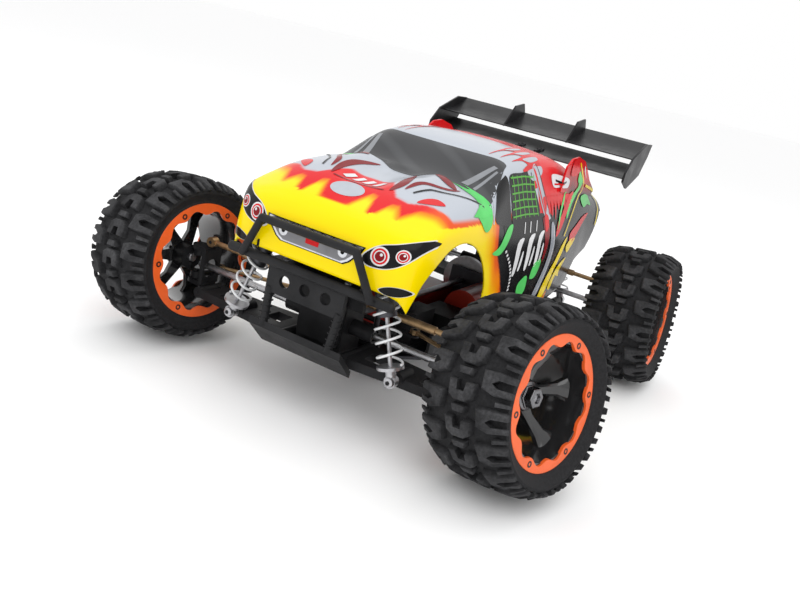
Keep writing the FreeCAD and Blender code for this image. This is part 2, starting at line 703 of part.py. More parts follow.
def section_wire(station):
    """A closed cross-section of the shell: a crowned top, rounded shoulders and upright sides."""
    y, top, crown_drop, shoulder_x, shoulder_z, sill_x, sill_z = station
    half = [(0, top), (shoulder_x * 0.55, top - crown_drop * 0.25), (shoulder_x * 0.86, top - crown_drop),
            (shoulder_x, shoulder_z), (sill_x, (shoulder_z + sill_z) / 2), (sill_x, sill_z)]
    right = [Vector(-x, y, z) for x, z in reversed(half[1:])]
    left = [Vector(x, y, z) for x, z in half]
    curve = Part.BSplineCurve()
    curve.interpolate(right + left)
    return Part.Wire([curve.toShape(), Part.makeLine(left[-1], right[0])])


SHELL_STATIONS = [
    (-228, 158, 4, 48, 148, 50, 127),
    (-221, 171, 5, 72, 158, 77, 124),
    (-204, 182, 8, 85, 168, 88, 101),
    (-170, 195, 9, 88, 172, 91, 92),
    (-118, 201, 8, 88, 176, 93, 84),
    (-94, 203, 9, 86, 182, 94, 80),
    (-38, 228, 8, 78, 200, 95, 78),
    (60, 231, 7, 79, 205, 96, 78),
    (120, 223, 8, 82, 198, 95, 84),
    (158, 210, 8, 83, 191, 94, 92),
    (190, 202, 8, 84, 183, 93, 100),
    (226, 196, 9, 84, 176, 93, 112),
    (250, 189, 9, 85, 170, 94, 120),
]
REAR_EDGE = [(150, 0), (150, 82), (158, 104), (166, 116), (200, 126), (222, 148), (242, 166), (260, 168),
             (260, 0)]
FIN_OUTLINE = [(78, 196), (80, 222), (93, 230), (112, 232), (138, 227), (158, 215), (172, 206), (198, 194),
               (196, 186), (158, 186), (120, 192)]


def body_shell():
    """A thin shell, open below and behind, with an arch at each front wheel and a fin on each rear side."""
    thin = size_of("shell_thickness")
    outer = Part.makeLoft([section_wire(s) for s in SHELL_STATIONS], True)
    inner_stations = []
    for index, (y, top, drop, shoulder_x, shoulder_z, sill_x, sill_z) in enumerate(SHELL_STATIONS):
        inset = thin if index == 0 else -thin if index == len(SHELL_STATIONS) - 1 else 0
        sides = (shoulder_x - thin, shoulder_z - thin, sill_x - thin, sill_z - 6)
        inner_stations.append((y + inset, top - thin, drop) + sides)
    shape = outer.cut(Part.makeLoft([section_wire(s) for s in inner_stations], True))
    floor_box = Part.makeBox(300, 600, 78.5, Vector(-150, -300, 0))
    shape = shape.cut(floor_box)
    radius = size_of("arch_radius")
    arch_y = -size_of("wheelbase") / 2 + size_of("arch_offset")
    arch_z = size_of("arch_height")
    arch = Part.makeCylinder(radius, 300, Vector(-150, arch_y, arch_z), Vector(1, 0, 0))
    arch_sides = Part.makeBox(300, 2 * radius, arch_z, Vector(-150, arch_y - radius, 0))
    rear_notch = side_panel(REAR_EDGE, -150, 300)
    rear_opening = Part.makeBox(300, 10, 300, Vector(-150, 246, 0))
    wing_slot = Part.makeBox(40, 80, 100, Vector(-20, 180, 150))
    shape = shape.cut([arch, arch_sides, rear_notch, rear_opening, wing_slot])
    fin_thickness = 2.0
    for fin_x in (82, -82 - fin_thickness):
        shape = shape.fuse(side_panel(FIN_OUTLINE, fin_x, fin_thickness))
    return shape


def wing_blade(y_front, z_front, chord, rise, thick):
    bend = (y_front + chord * 0.5, z_front + rise * 0.3)
    points = [(y_front, z_front), bend, (y_front + chord, z_front + rise)]
    span = size_of("wing_half_span")
    top = [Vector(-span, y, z) for y, z in points]
    low = [Vector(-span, y, z - thick) for y, z in reversed(points)]
    return Part.Face(Part.makePolygon(top + low + [top[0]])).extrude(Vector(2 * span, 0, 0))


def rear_wing():
    """Two blades between end plates, with two fins on the upper blade."""
    height = size_of("wing_height")
    span = size_of("wing_half_span")
    shape = wing_blade(188, height + 7, 61, 17, 2.4).fuse(wing_blade(164, height - 14, 62, 12, 2.4))
    side_view = [(162, 214), (184, 206), (226, 220), (243, 242), (249, 256), (224, 256), (180, 240),
                 (163, 224)]
    fin = [(180, 234), (249, 255), (240, 266), (214, 262)]
    for sign in SIDES.values():
        end_plate = side_panel(side_view, sign * span - 1.2, 2.4)
        shape = shape.fuse([end_plate, side_panel(fin, sign * 40 - 1, 2)])
    return shape


def wing_mount():
    """Two arms from the rear shock tower up to the lower blade of the wing."""
    foot_y = size_of("wheelbase") / 2 + 19.1
    side_view = [(0, 120), (5, 120), (12, 150), (6, 218), (-12, 214), (0, 150)]
    side_view = [(foot_y + y, z) for y, z in side_view]
    arms = [side_panel(side_view, sign * 12 - 2, 4) for sign in SIDES.values()]
    return Part.makeBox(24, 4, 10, Vector(-12, foot_y + 1, 124)).fuse(arms)


node("front_bumper", computed("bumper", front_bumper()))
node("body_shell", computed("shell", body_shell()))
node("rear_wing", computed("wing", rear_wing()))
node("wing_mount", computed("wing_stay", wing_mount()))

doc.recompute()
for thing in doc.Objects:
    faults = [state for state in thing.State if state in ("Invalid", "Error")]
    if faults:
        raise RuntimeError(f"{thing.Name} is {faults}")
os.makedirs("parts", exist_ok=True)
for label, thing in NODES.items():
    if thing.Shape.isNull() or not thing.Shape.isValid():
        raise RuntimeError(f"{label} has no valid shape")
    thing.Shape.exportStep(f"parts/{label}.step")
print(len(NODES), "nodes")
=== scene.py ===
"""The radio-controlled truggy's looks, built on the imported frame.

Lengths in the makers are in millimetres.
"""
import json
import math

import bmesh
import bpy
from mathutils import Matrix, Vector
from mathutils.bvhtree import BVHTree
from mathutils.geometry import delaunay_2d_cdt


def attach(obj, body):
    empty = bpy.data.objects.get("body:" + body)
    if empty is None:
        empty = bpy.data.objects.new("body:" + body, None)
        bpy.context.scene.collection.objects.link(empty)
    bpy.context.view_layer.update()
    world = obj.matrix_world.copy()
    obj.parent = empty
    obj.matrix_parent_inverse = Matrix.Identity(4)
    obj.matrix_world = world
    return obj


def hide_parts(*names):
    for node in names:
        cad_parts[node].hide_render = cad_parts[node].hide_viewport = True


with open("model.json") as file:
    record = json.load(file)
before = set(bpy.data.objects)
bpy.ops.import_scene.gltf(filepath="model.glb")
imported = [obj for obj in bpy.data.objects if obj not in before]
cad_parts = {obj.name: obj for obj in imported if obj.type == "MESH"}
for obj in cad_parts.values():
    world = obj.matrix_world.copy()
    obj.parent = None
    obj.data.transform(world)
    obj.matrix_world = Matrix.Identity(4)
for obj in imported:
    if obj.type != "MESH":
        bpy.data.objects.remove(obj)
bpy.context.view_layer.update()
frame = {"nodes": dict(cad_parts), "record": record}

MM = 0.001
SIDES = {"left": 1, "right": -1}
ENDS = ("front", "rear")
JOINTS = {joint["name"]: joint for joint in frame["record"]["behaviour"]["joints"]}


# Materials.

class Shader:
    """A node tree being built: each method adds one node and returns its output."""

    def __init__(self, name):
        self.material = bpy.data.materials.new(name)
        self.material.use_nodes = True
        self.tree = self.material.node_tree
        self.surface = self.tree.nodes["Principled BSDF"]

    def node(self, kind, settings=(), **inputs):
        made = self.tree.nodes.new(kind)
        for key, value in dict(settings).items():
            setattr(made, key, value)
        for key, value in inputs.items():
            self.feed(made.inputs[key.replace("_", " ")], value)
        return made

    def feed(self, socket, value):
        if isinstance(value, bpy.types.NodeSocket):
            self.tree.links.new(value, socket)
        elif isinstance(value, (tuple, list)) and len(value) == 3 and socket.type == "RGBA":
            socket.default_value = (*value, 1)
        else:
            socket.default_value = value

    def place(self):
        return self.node("ShaderNodeTexCoord").outputs["Object"]

    def noise(self, scale, detail=4.0):
        noise = self.node("ShaderNodeTexNoise", Vector=self.place(), Scale=scale, Detail=detail,
                          Roughness=0.6)
        return noise.outputs["Fac"]

    def span(self, value, low, high, out_low=0.0, out_high=1.0):
        made = self.node("ShaderNodeMapRange", Value=value)
        for key, number in zip(("From Min", "From Max", "To Min", "To Max"),
                               (low, high, out_low, out_high)):
            made.inputs[key].default_value = number
        return made.outputs["Result"]

    def mix(self, share, first, second):
        made = self.node("ShaderNodeMix", settings={"data_type": "RGBA"})
        self.feed(made.inputs[0], share)
        self.feed(made.inputs[6], first)
        self.feed(made.inputs[7], second)
        return made.outputs[2]

    def attribute(self, name):
        return self.node("ShaderNodeAttribute", settings={"attribute_name": name}).outputs["Fac"]

    def bump(self, height, strength, distance=0.0003):
        made = self.node("ShaderNodeBump", Height=height, Strength=strength, Distance=distance)
        self.feed(self.surface.inputs["Normal"], made.outputs["Normal"])

    def set(self, **inputs):
        for key, value in inputs.items():
            self.feed(self.surface.inputs[key.replace("_", " ")], value)
        return self.material


def moulded_plastic(name, colour, rough=0.5, grain=900.0, sheen=0.01):
    """Fine-grained moulded plastic with a little uneven tone and dust."""
    s = Shader(name)
    tone = s.span(s.noise(30.0), 0.3, 0.7)
    light = tuple(min(1.0, c * 1.5 + sheen) for c in colour)
    s.bump(s.noise(grain, 2.0), 0.25)
    s.set(Specular_IOR_Level=0.16, Roughness=s.span(s.noise(60.0), 0.3, 0.7, rough - 0.07, rough + 0.1))
    return s.set(Base_Color=s.mix(tone, colour, light))


def brushed_metal(name, colour, rough=0.28):
    """Bare or anodised metal with fine streaks."""
    s = Shader(name)
    streak = s.span(s.noise(220.0, 6.0), 0.3, 0.7)
    s.bump(s.noise(700.0, 3.0), 0.12)
    dark = tuple(c * 0.7 for c in colour)
    return s.set(Base_Color=s.mix(streak, dark, colour), Metallic=1.0,
                 Roughness=s.span(streak, 0, 1, rough, rough + 0.18))


def gloss_paint(name, colour, rough=0.22, coat=0.4, shine=0.3):
    """A smooth coloured surface with slight orange peel."""
    s = Shader(name)
    tone = s.span(s.noise(45.0), 0.35, 0.65)
    dark = tuple(c * 0.86 for c in colour)
    s.bump(s.noise(260.0, 2.0), 0.08)
    s.set(Specular_IOR_Level=shine)
    return s.set(Base_Color=s.mix(tone, dark, colour), Roughness=rough, Coat_Weight=coat * 0.5,
                 Coat_Roughness=0.1)


def livery_ink(name, colour):
    """Paint of the livery, as flat and quiet as the shell around it."""
    return gloss_paint(name, colour, 0.24, 0.05, 0.14)


def tyre_rubber():
    """Black rubber with a painted highlight on the lug tops that fades to painted shade down their sides,
    broken into random patches, with dust in the pores.
    """
    s = Shader("tyre_rubber")
    lug_top_light = s.attribute("lug_top_light")
    speckle = s.span(s.noise(420.0, 5.0), 0.35, 0.75)
    patch = s.span(s.noise(38.0, 3.0), 0.35, 0.7)
    # Painted highlight: the lug tops' share, broken into random patches, lightens the colour.
    patchy_top_light = s.node("ShaderNodeMath", settings={"operation": "MULTIPLY"})
    s.feed(patchy_top_light.inputs[0], lug_top_light)
    s.feed(patchy_top_light.inputs[1], patch)
    # The base colour is the painted shade on the lug sides and the groove floor. The lighter colour is the
    # painted highlight on the lug tops.
    base = s.mix(speckle, (0.011, 0.011, 0.012), (0.026, 0.026, 0.028))
    top = s.mix(speckle, (0.035, 0.035, 0.037), (0.085, 0.085, 0.09))
    s.bump(s.noise(650.0, 4.0), 0.5, 0.0005)
    s.set(Specular_IOR_Level=0.2)
    return s.set(Base_Color=s.mix(patchy_top_light.outputs[0], base, top), Roughness=s.span(speckle, 0, 1, 0.72, 0.9))


def shell_paint():
    """Airbrushed polycarbonate: yellow nose, fringe of orange and red, silver upper parts, dark tail."""
    s = Shader("shell_paint")
    colour = (0.93, 0.7, 0.0)
    shades = {"orange": (0.85, 0.22, 0.0), "red": (0.66, 0.008, 0.012), "silver": (0.45, 0.48, 0.53),
              "black": (0.006, 0.006, 0.007)}
    for name, shade in shades.items():
        colour = s.mix(s.attribute(name), colour, shade)
    s.bump(s.noise(90.0, 2.0), 0.05)
    s.set(Specular_IOR_Level=0.14, Coat_Weight=0.05, Coat_Roughness=0.08)
    return s.set(Base_Color=colour, Roughness=s.span(s.noise(50.0), 0.3, 0.7, 0.18, 0.26))


def window_film():
    """Smoked windows with a soft diagonal sheen painted into their colour: lighter wave bands stand in for
    a reflection.
    """
    s = Shader("window_film")
    wave = s.node("ShaderNodeTexWave", settings={"bands_direction": "DIAGONAL"}, Vector=s.place(),
                  Scale=9.0, Distortion=1.5).outputs["Fac"]
    # Painted reflection: the crests of the wave lighten the window colour.
    streak = s.mix(s.span(wave, 0.75, 1.0), (0.035, 0.036, 0.039), (0.055, 0.057, 0.061))
    return s.set(Base_Color=streak, Roughness=0.25, Specular_IOR_Level=0.2)


BLACK = moulded_plastic("black_plastic", (0.009, 0.009, 0.01), 0.48)
WING_BLACK = moulded_plastic("wing_plastic", (0.008, 0.008, 0.009), 0.34, 500.0, 0.006)
RUBBER = tyre_rubber()
RIM_BLACK = gloss_paint("rim_gloss_black", (0.02, 0.02, 0.021), 0.16, 0.9, 0.5)
ORANGE = gloss_paint("bead_ring_orange", (0.9, 0.13, 0.02), 0.35, 0.2)
BLUE = brushed_metal("anodised_blue", (0.02, 0.16, 0.6))
STEEL = brushed_metal("bright_steel", (0.55, 0.55, 0.57))
NUT = brushed_metal("dark_chrome", (0.22, 0.22, 0.23), 0.2)
BRONZE = brushed_metal("bronze_screw", (0.45, 0.3, 0.16), 0.35)
SCREW = brushed_metal("black_screw", (0.06, 0.06, 0.065), 0.35)
SPRING_WHITE = gloss_paint("spring_white", (0.78, 0.79, 0.8), 0.3, 0.3)
SHOCK_GREY = brushed_metal("shock_alloy", (0.1, 0.1, 0.11), 0.35)
PLATE = brushed_metal("chassis_alloy", (0.09, 0.09, 0.1), 0.4)
WRAP_RED = gloss_paint("battery_wrap", (0.5, 0.03, 0.02), 0.3, 0.2)
MOTOR_RED = gloss_paint("motor_can_red", (0.55, 0.04, 0.02), 0.3, 0.3)
SHELL = shell_paint()
WINDOW = window_film()
# Painted shade: the shell's inner face is near black, for the shade inside the shell and its wheel arches.
SHELL_INNER_SHADE = moulded_plastic("shell_inner_painted_shade", (0.004, 0.004, 0.004), 0.7, 900.0, 0.004)
INK = {
    "black": livery_ink("ink_black", (0.006, 0.006, 0.007)),
    "red": livery_ink("ink_red", (0.66, 0.008, 0.012)),
    "orange": livery_ink("ink_orange", (0.85, 0.25, 0.0)),
    "green": livery_ink("ink_green", (0.1, 0.62, 0.14)),
    "grey": livery_ink("ink_grey", (0.3, 0.32, 0.36)),
    "silver": livery_ink("ink_silver", (0.45, 0.48, 0.53)),
    "white": livery_ink("ink_white", (0.75, 0.75, 0.76)),
    "yellow": livery_ink("ink_yellow", (0.93, 0.7, 0.0)),
    "eye": livery_ink("ink_dark_red", (0.22, 0.006, 0.01)),
    "net": livery_ink("ink_net_green", (0.08, 0.36, 0.03)),
    "chrome": brushed_metal("lamp_silver", (0.7, 0.71, 0.74), 0.2),
    "mesh": moulded_plastic("grille_mesh", (0.16, 0.16, 0.17), 0.4),
}


# Mesh helpers. Every maker works in millimetres and finish_piece scales once.

def aim(direction):
    """A rotation that turns +Z to a direction."""
    return Vector(direction).to_track_quat("Z", "Y").to_matrix().to_4x4()


def add_block(bm, size, centre, turn=None):
    """A block of a size about a centre, turned in place."""
    turn = turn or Matrix.Identity(4)
    scale = Matrix.Diagonal((*size, 1))
    bmesh.ops.create_cube(bm, size=1, matrix=Matrix.Translation(centre) @ turn @ scale)


def add_tube(bm, start, end, radius, end_radius=None, sides=24):
    """A round bar between two points, which may taper."""
    start, end = Vector(start), Vector(end)
    place = Matrix.Translation((start + end) / 2) @ aim(end - start)
    far = radius if end_radius is None else end_radius
    bmesh.ops.create_cone(bm, cap_ends=True, segments=sides, radius1=radius, radius2=far,
                          depth=(end - start).length, matrix=place)


def add_turned(bm, profile, place=None, sides=64):
    """A closed profile of (along, radius) points turned about X, then moved by place."""
    place = place or Matrix.Identity(4)
    rings = []
    for step in range(sides):
        angle = 2 * math.pi * step / sides
        cos, sin = math.cos(angle), math.sin(angle)
        rings.append([bm.verts.new(place @ Vector((x, r * cos, r * sin))) for x, r in profile])
    for step in range(sides):
        here, there = rings[step], rings[(step + 1) % sides]
        for k in range(len(profile)):
            n = (k + 1) % len(profile)
            bm.faces.new((here[k], here[n], there[n], there[k]))


def finish_piece(name, bm, material, body, nodes=(), place=None, bevel=0.0, angle=35):
    """Turns millimetre mesh data into a finished piece that rides on its body."""
    if place:
        bmesh.ops.transform(bm, matrix=place, verts=bm.verts)
    bmesh.ops.scale(bm, vec=(MM, MM, MM), verts=bm.verts)
    bmesh.ops.recalc_face_normals(bm, faces=bm.faces)
    mesh = bpy.data.meshes.new(name)
    bm.to_mesh(mesh)
    bm.free()
    for shade in material if isinstance(material, (list, tuple)) else [material]:
        mesh.materials.append(shade)
    piece = bpy.data.objects.new(name, mesh)
    bpy.context.scene.collection.objects.link(piece)
    mesh.polygons.foreach_set("use_smooth", [True] * len(mesh.polygons))
    if bevel:
        edge = piece.modifiers.new("edges", "BEVEL")
        edge.width = bevel * MM
        edge.segments = 2
        edge.limit_method = "ANGLE"
        edge.angle_limit = math.radians(angle)
        edge.harden_normals = True
    else:
        mesh.set_sharp_from_angle(angle=math.radians(angle))
    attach(piece, body)
    if nodes:
        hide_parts(*nodes)
    return piece


def dress(node, *materials, bevel=0.4):
    """Gives a CAD node that stays its materials and softened edges."""
    thing = frame["nodes"][node]
    thing.data.materials.clear()
    for material in materials:
        thing.data.materials.append(material)
    edge = thing.modifiers.new("edges", "BEVEL")
    edge.width = bevel * MM
    edge.segments = 2
    edge.limit_method = "ANGLE"
    edge.angle_limit = math.radians(40)
    edge.harden_normals = True


# Wheels.

TYRE_RADIUS = 73.97
TYRE_HALF = 39.25
LUG_DEPTH = 5.5
PITCHES = 17
RING_PLANE = 30.8
BACK_RING_PLANE = -33.8
RING_RADIUS = 52.4
SCREW_CIRCLE = 47.2
RING_SCREWS = 6
SCALLOPS = 12
SCALLOP_RADIUS = 42.1
SCALLOP_DEPTH = 4.3
SPOKES = 6


def wheel_place(end, side):
    """Where a wheel's own frame goes: +X outwards along its axle."""
    joint = JOINTS[f"{end}_{side}_wheel_spin"]
    outwards = Vector(joint["axis"])
    up = Vector((0, 0, 1))
    forwards = up.cross(outwards).normalized()
    turn = Matrix((outwards, forwards, outwards.cross(forwards))).transposed().to_4x4()
    return Matrix.Translation(Vector(joint["pos_m"]) / MM) @ turn


def crown(x):
    """The tread's radius at a distance from the tyre's middle."""
    x = abs(x)
    stops = ((0, TYRE_RADIUS), (TYRE_HALF * 0.4, TYRE_RADIUS), (TYRE_HALF * 0.74, TYRE_RADIUS - 1.6),
             (TYRE_HALF - 2.5, TYRE_RADIUS - 4.5), (TYRE_HALF, TYRE_RADIUS - 8))
    for (x0, r0), (x1, r1) in zip(stops, stops[1:]):
        if x <= x1:
            return r0 + (r1 - r0) * (x - x0) / (x1 - x0)
    return stops[-1][1]


def add_lug(bm, lug_top_light, outline, angle, depth=LUG_DEPTH):
    """A tread block: its outline in (across, around) millimetres, wrapped on the carcass."""
    centre = Vector((sum(p[0] for p in outline) / len(outline), sum(p[1] for p in outline) / len(outline)))
    rings = []
    # Each ring carries a share of painted highlight: none at the lug's foot, 0.75 just under its top and
    # all of it on its top.
    for grow, sink, share in ((1.12, depth, 0.0), (1.0, 0.7, 0.75), (0.9, 0.0, 1.0)):
        ring = []
        for x, around in outline:
            spot = centre + (Vector((x, around)) - centre) * grow
            widest = TYRE_HALF - 3.2 if sink > 2 else TYRE_HALF - 0.3
            spot.x = max(-widest, min(widest, spot.x))
            radius = crown(spot.x) - sink
            turn = angle + spot.y / TYRE_RADIUS
            vert = bm.verts.new((spot.x, radius * math.cos(turn), radius * math.sin(turn)))
            vert[lug_top_light] = share
            ring.append(vert)
        rings.append(ring)
    count = len(outline)
    for here, there in zip(rings, rings[1:]):
        for k in range(count):
            n = (k + 1) % count
            bm.faces.new((here[k], here[n], there[n], there[k]))
    bm.faces.new(rings[-1])


CENTRE_LUG = ((-11, -6.5), (-4.5, -6.5), (-3.5, 0.5), (3.5, 0.5), (4.5, -6.5), (11, -6.5), (10, 4),
              (5, 7.5), (-5, 7.5), (-10, 4))
BAR_LUG = ((-6, -3), (6, -3), (4.5, 2), (-4.5, 2))
SHOULDER_LUG = ((15, -7.5), (27, -8.5), (39, -8), (39, -3), (28, -3), (23, 0.5), (28, 3.5), (39, 3.5),
                (39, 8), (26, 8.5), (16.5, 5.5))
EDGE_LUG = ((29, -1.6), (39.2, -1.2), (39.2, 1.4), (29, 1.8))


def tyre(end, side):
    """A carcass with horseshoe blocks along the middle, claw blocks on both shoulders and side ribs."""
    bm = bmesh.new()
    # A layer for the painted highlight on the lug tops.
    lug_top_light = bm.verts.layers.float.new("lug_top_light")
    bead = 52.9
    floor = [(x, crown(x) - LUG_DEPTH) for x in (-36, -29, -15.7, 0, 15.7, 29, 36)]
    right = [(36.6, 61.8), (35.2, 59.8), (34.4, 58.4), (32.9, 56.2), (32.4, 54.6), (31.0, bead)]
    left = [(-33.6, bead), (-33.0, 54.6), (-33.4, 56.4), (-35.2, 59.8), (-36.6, 61.8)]
    under = [(27.4, bead - 4), (-30.0, bead - 4)]
    add_turned(bm, left + floor + right + under, sides=102)
    for index in range(PITCHES):
        angle = 2 * math.pi * index / PITCHES
        step = 2 * math.pi / PITCHES
        add_lug(bm, lug_top_light, CENTRE_LUG, angle)
        add_lug(bm, lug_top_light, BAR_LUG, angle + step / 2)
        for mirror in (1, -1):
            add_lug(bm, lug_top_light, [(mirror * x, around) for x, around in SHOULDER_LUG],
                    angle + step * (0.5 + 0.1 * mirror))
            add_lug(bm, lug_top_light, [(mirror * x, around) for x, around in EDGE_LUG],
                    angle + step * 0.1 * mirror, 3.5)
    finish_piece(f"{end}_{side}_tyre_tread", bm, RUBBER, f"{end}_{side}_wheel",
                 [f"{end}_{side}_tyre"], wheel_place(end, side), angle=30)


def rim(end, side):
    """The dished rim and its hub, both bead rings with their screws, the nut, the axle and the hexagon."""
    body = f"{end}_{side}_wheel"
    place = wheel_place(end, side)
    bm = bmesh.new()
    add_turned(bm, [(-33.6, 45.5), (-33.6, 50.5), (-30, 50.5), (-29, 46.6), (27.5, 46.6), (28, 50.5),
                    (29.2, 50.5), (29.2, 44.6), (20, 43.4), (2, 42.8), (-4, 43.6), (-30, 44.2)], sides=96)
    add_turned(bm, [(-1, 0.5), (-1, 12), (1, 13.5), (5, 12.5), (7, 9), (7, 0.5)], sides=48)
    for index in range(SPOKES):
        turn = Matrix.Rotation(2 * math.pi * (index + 0.5) / SPOKES, 4, "X")
        spoke_outline = ((9, 6.2), (22, 4.2), (36, 5.5), (43.2, 10))
        rows = []
        for radius, half in spoke_outline:
            front = 2.5 + 13.0 * ((radius - 9) / 34) ** 2
            back = front - 6
            corners = ((front, half * 0.62), (front - 1.6, half), (back, half), (back, -half),
                       (front - 1.6, -half), (front, -half * 0.62))
            rows.append([bm.verts.new(turn @ Vector((x, y, radius))) for x, y in corners])
        for here, there in zip(rows, rows[1:]):
            for k in range(len(here)):
                n = (k + 1) % len(here)
                bm.faces.new((here[k], here[n], there[n], there[k]))
    finish_piece(f"{end}_{side}_spoked_rim", bm, RIM_BLACK, body, [f"{end}_{side}_rim"],
                 place, bevel=0.35)

    bm = bmesh.new()
    for inner, outer in ((RING_PLANE - 2.6, RING_PLANE), (BACK_RING_PLANE, BACK_RING_PLANE + 2.4)):
        add_bead_ring(bm, inner, outer)
    finish_piece(f"{end}_{side}_bead_rings", bm, ORANGE, body, (), place, bevel=0.3, angle=50)

    bm = bmesh.new()
    for index in range(RING_SCREWS):
        turn = Matrix.Rotation(2 * math.pi * (index + 0.5) / RING_SCREWS, 4, "X")
        for outer, way in ((RING_PLANE, 1), (BACK_RING_PLANE, -1)):
            add_turned(bm, [(outer - 0.8 * way, 0.4), (outer - 0.8 * way, 2.6), (outer + 0.25 * way, 2.5),
                            (outer + 0.25 * way, 1.3), (outer - 0.5 * way, 1.2), (outer - 0.5 * way, 0.4)],
                       turn @ Matrix.Translation((0, 0, SCREW_CIRCLE)), sides=18)
    finish_piece(f"{end}_{side}_ring_screws", bm, SCREW, body, (), place)

    bm = bmesh.new()
    add_turned(bm, [(7.2, 4.2), (7.2, 9.6), (9, 9.6), (9.4, 8.6), (15.2, 8.4), (16, 7.2), (16, 4.2)],
               sides=6)
    add_turned(bm, [(6.8, 0.4), (6.8, 11.4), (7.6, 11.4), (8, 10.8), (8, 0.4)], sides=40)
    finish_piece(f"{end}_{side}_wheel_nut", bm, NUT, body, (), place, bevel=0.4)

    bm = bmesh.new()
    add_turned(bm, [(-19.6, 0.4), (-19.6, 3.6), (-19, 4), (13, 4), (13.8, 3.2), (13.8, 0.4)], sides=28)
    finish_piece(f"{end}_{side}_stub_axle", bm, STEEL, body, (), place, bevel=0.25)

    bm = bmesh.new()
    add_turned(bm, [(-3.7, 3.8), (-3.7, 9.8), (-0.8, 9.8), (-0.8, 3.8)], sides=6)
    finish_piece(f"{end}_{side}_hexagon", bm, BLUE, body, (), place, bevel=0.3)


def add_bead_ring(bm, low, high):
    """A flat ring with scallops round its inner edge, between the screw bosses."""
    steps = 144
    rings = []
    for step in range(steps):
        angle = 2 * math.pi * step / steps
        wave = 0.5 - 0.5 * math.cos(SCALLOPS * angle)
        inner = SCALLOP_RADIUS + SCALLOP_DEPTH * wave
        cos, sin = math.cos(angle), math.sin(angle)
        profile = ((low, inner), (low, RING_RADIUS), ((low + high) / 2, RING_RADIUS + 0.3),
                   (high, RING_RADIUS - 0.4), (high, inner + 0.4))
        rings.append([bm.verts.new((x, r * cos, r * sin)) for x, r in profile])
    for step in range(steps):
        here, there = rings[step], rings[(step + 1) % steps]
        for k in range(len(here)):
            n = (k + 1) % len(here)
            bm.faces.new((here[k], here[n], there[n], there[k]))


for end in ENDS:
    for side in SIDES:
        tyre(end, side)
        rim(end, side)


# The body shell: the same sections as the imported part, on a finer grid with its scoops
# and painted graphics.

STATIONS = [
    (-228, 158, 4, 48, 148, 50, 127), (-221, 171, 5, 72, 158, 77, 124), (-204, 182, 8, 85, 168, 88, 101),
    (-170, 195, 9, 88, 172, 91, 92), (-118, 201, 8, 88, 176, 93, 84), (-94, 203, 9, 86, 182, 94, 80),
    (-38, 228, 8, 78, 200, 95, 78), (60, 231, 7, 79, 205, 96, 78), (120, 223, 8, 82, 198, 95, 84),
    (158, 210, 8, 83, 191, 94, 92), (190, 202, 8, 84, 183, 93, 100), (226, 196, 9, 84, 176, 93, 112),
    (250, 189, 9, 85, 170, 94, 120),
]
SHELL_TAIL = 246.0
SHELL_STEPS, SHELL_COUNT = 190, 84
FINE = 120
ARCH_Y, ARCH_Z, ARCH_RADIUS = -154.0, 104.5, 61.0
REAR_EDGE = ((150, 82), (158, 104), (166, 116), (200, 126), (222, 148), (242, 166), (250, 167))
FIN_OUTLINE = ((78, 196), (80, 222), (93, 230), (112, 232), (138, 227), (158, 215), (172, 206), (198, 194),
               (196, 186), (158, 186), (120, 192))


def smooth(edge0, edge1, value):
    """A share that rises softly from 0 to 1 between two edges."""
    t = max(0.0, min(1.0, (value - edge0) / (edge1 - edge0)))
    return t * t * (3 - 2 * t)


def spline(knots, values, at):
    """A smooth curve through values (numbers or vectors) given at rising knots."""
    k = max(0, min(len(knots) - 2, sum(1 for knot in knots[1:-1] if knot <= at)))

    def slope(i):
        low, high = max(i - 1, 0), min(i + 1, len(knots) - 1)
        return (values[high] - values[low]) * (1 / (knots[high] - knots[low]))

    width = knots[k + 1] - knots[k]
    t = (at - knots[k]) / width
    start, end = values[k], values[k + 1]
    blend = 3 * t * t - 2 * t ** 3
    return (start * (1 - blend) + end * blend + slope(k) * (width * (t ** 3 - 2 * t * t + t))
            + slope(k + 1) * (width * (t ** 3 - t * t)))


def straight(points, at):
    """The height of a broken line at a distance."""
    for (y0, z0), (y1, z1) in zip(points, points[1:]):
        if at <= y1:
            return z0 + (z1 - z0) * (at - y0) / (y1 - y0)
    return points[-1][1]


def sill_height(y, low):
    """Where the shell's lower edge runs at a station: the sill, the front arch or the rear notch."""
    if abs(y - ARCH_Y) < ARCH_RADIUS:
        low = max(low, ARCH_Z + math.sqrt(ARCH_RADIUS ** 2 - (y - ARCH_Y) ** 2))
    if y > REAR_EDGE[0][0]:
        low = max(low, straight(REAR_EDGE, y))
    return low


def relief(x, y):
    """Two scoops on the bonnet and the hollow between them, as a change of height."""
    back = 1 - smooth(-112, -96, y)
    scoop = 5.0 * math.exp(-((abs(x) - 38) / 13) ** 2) * smooth(-176, -140, y) * back
    hollow = 4.0 * math.exp(-(x / 19) ** 4) * smooth(-186, -170, y) * back
    return scoop - hollow


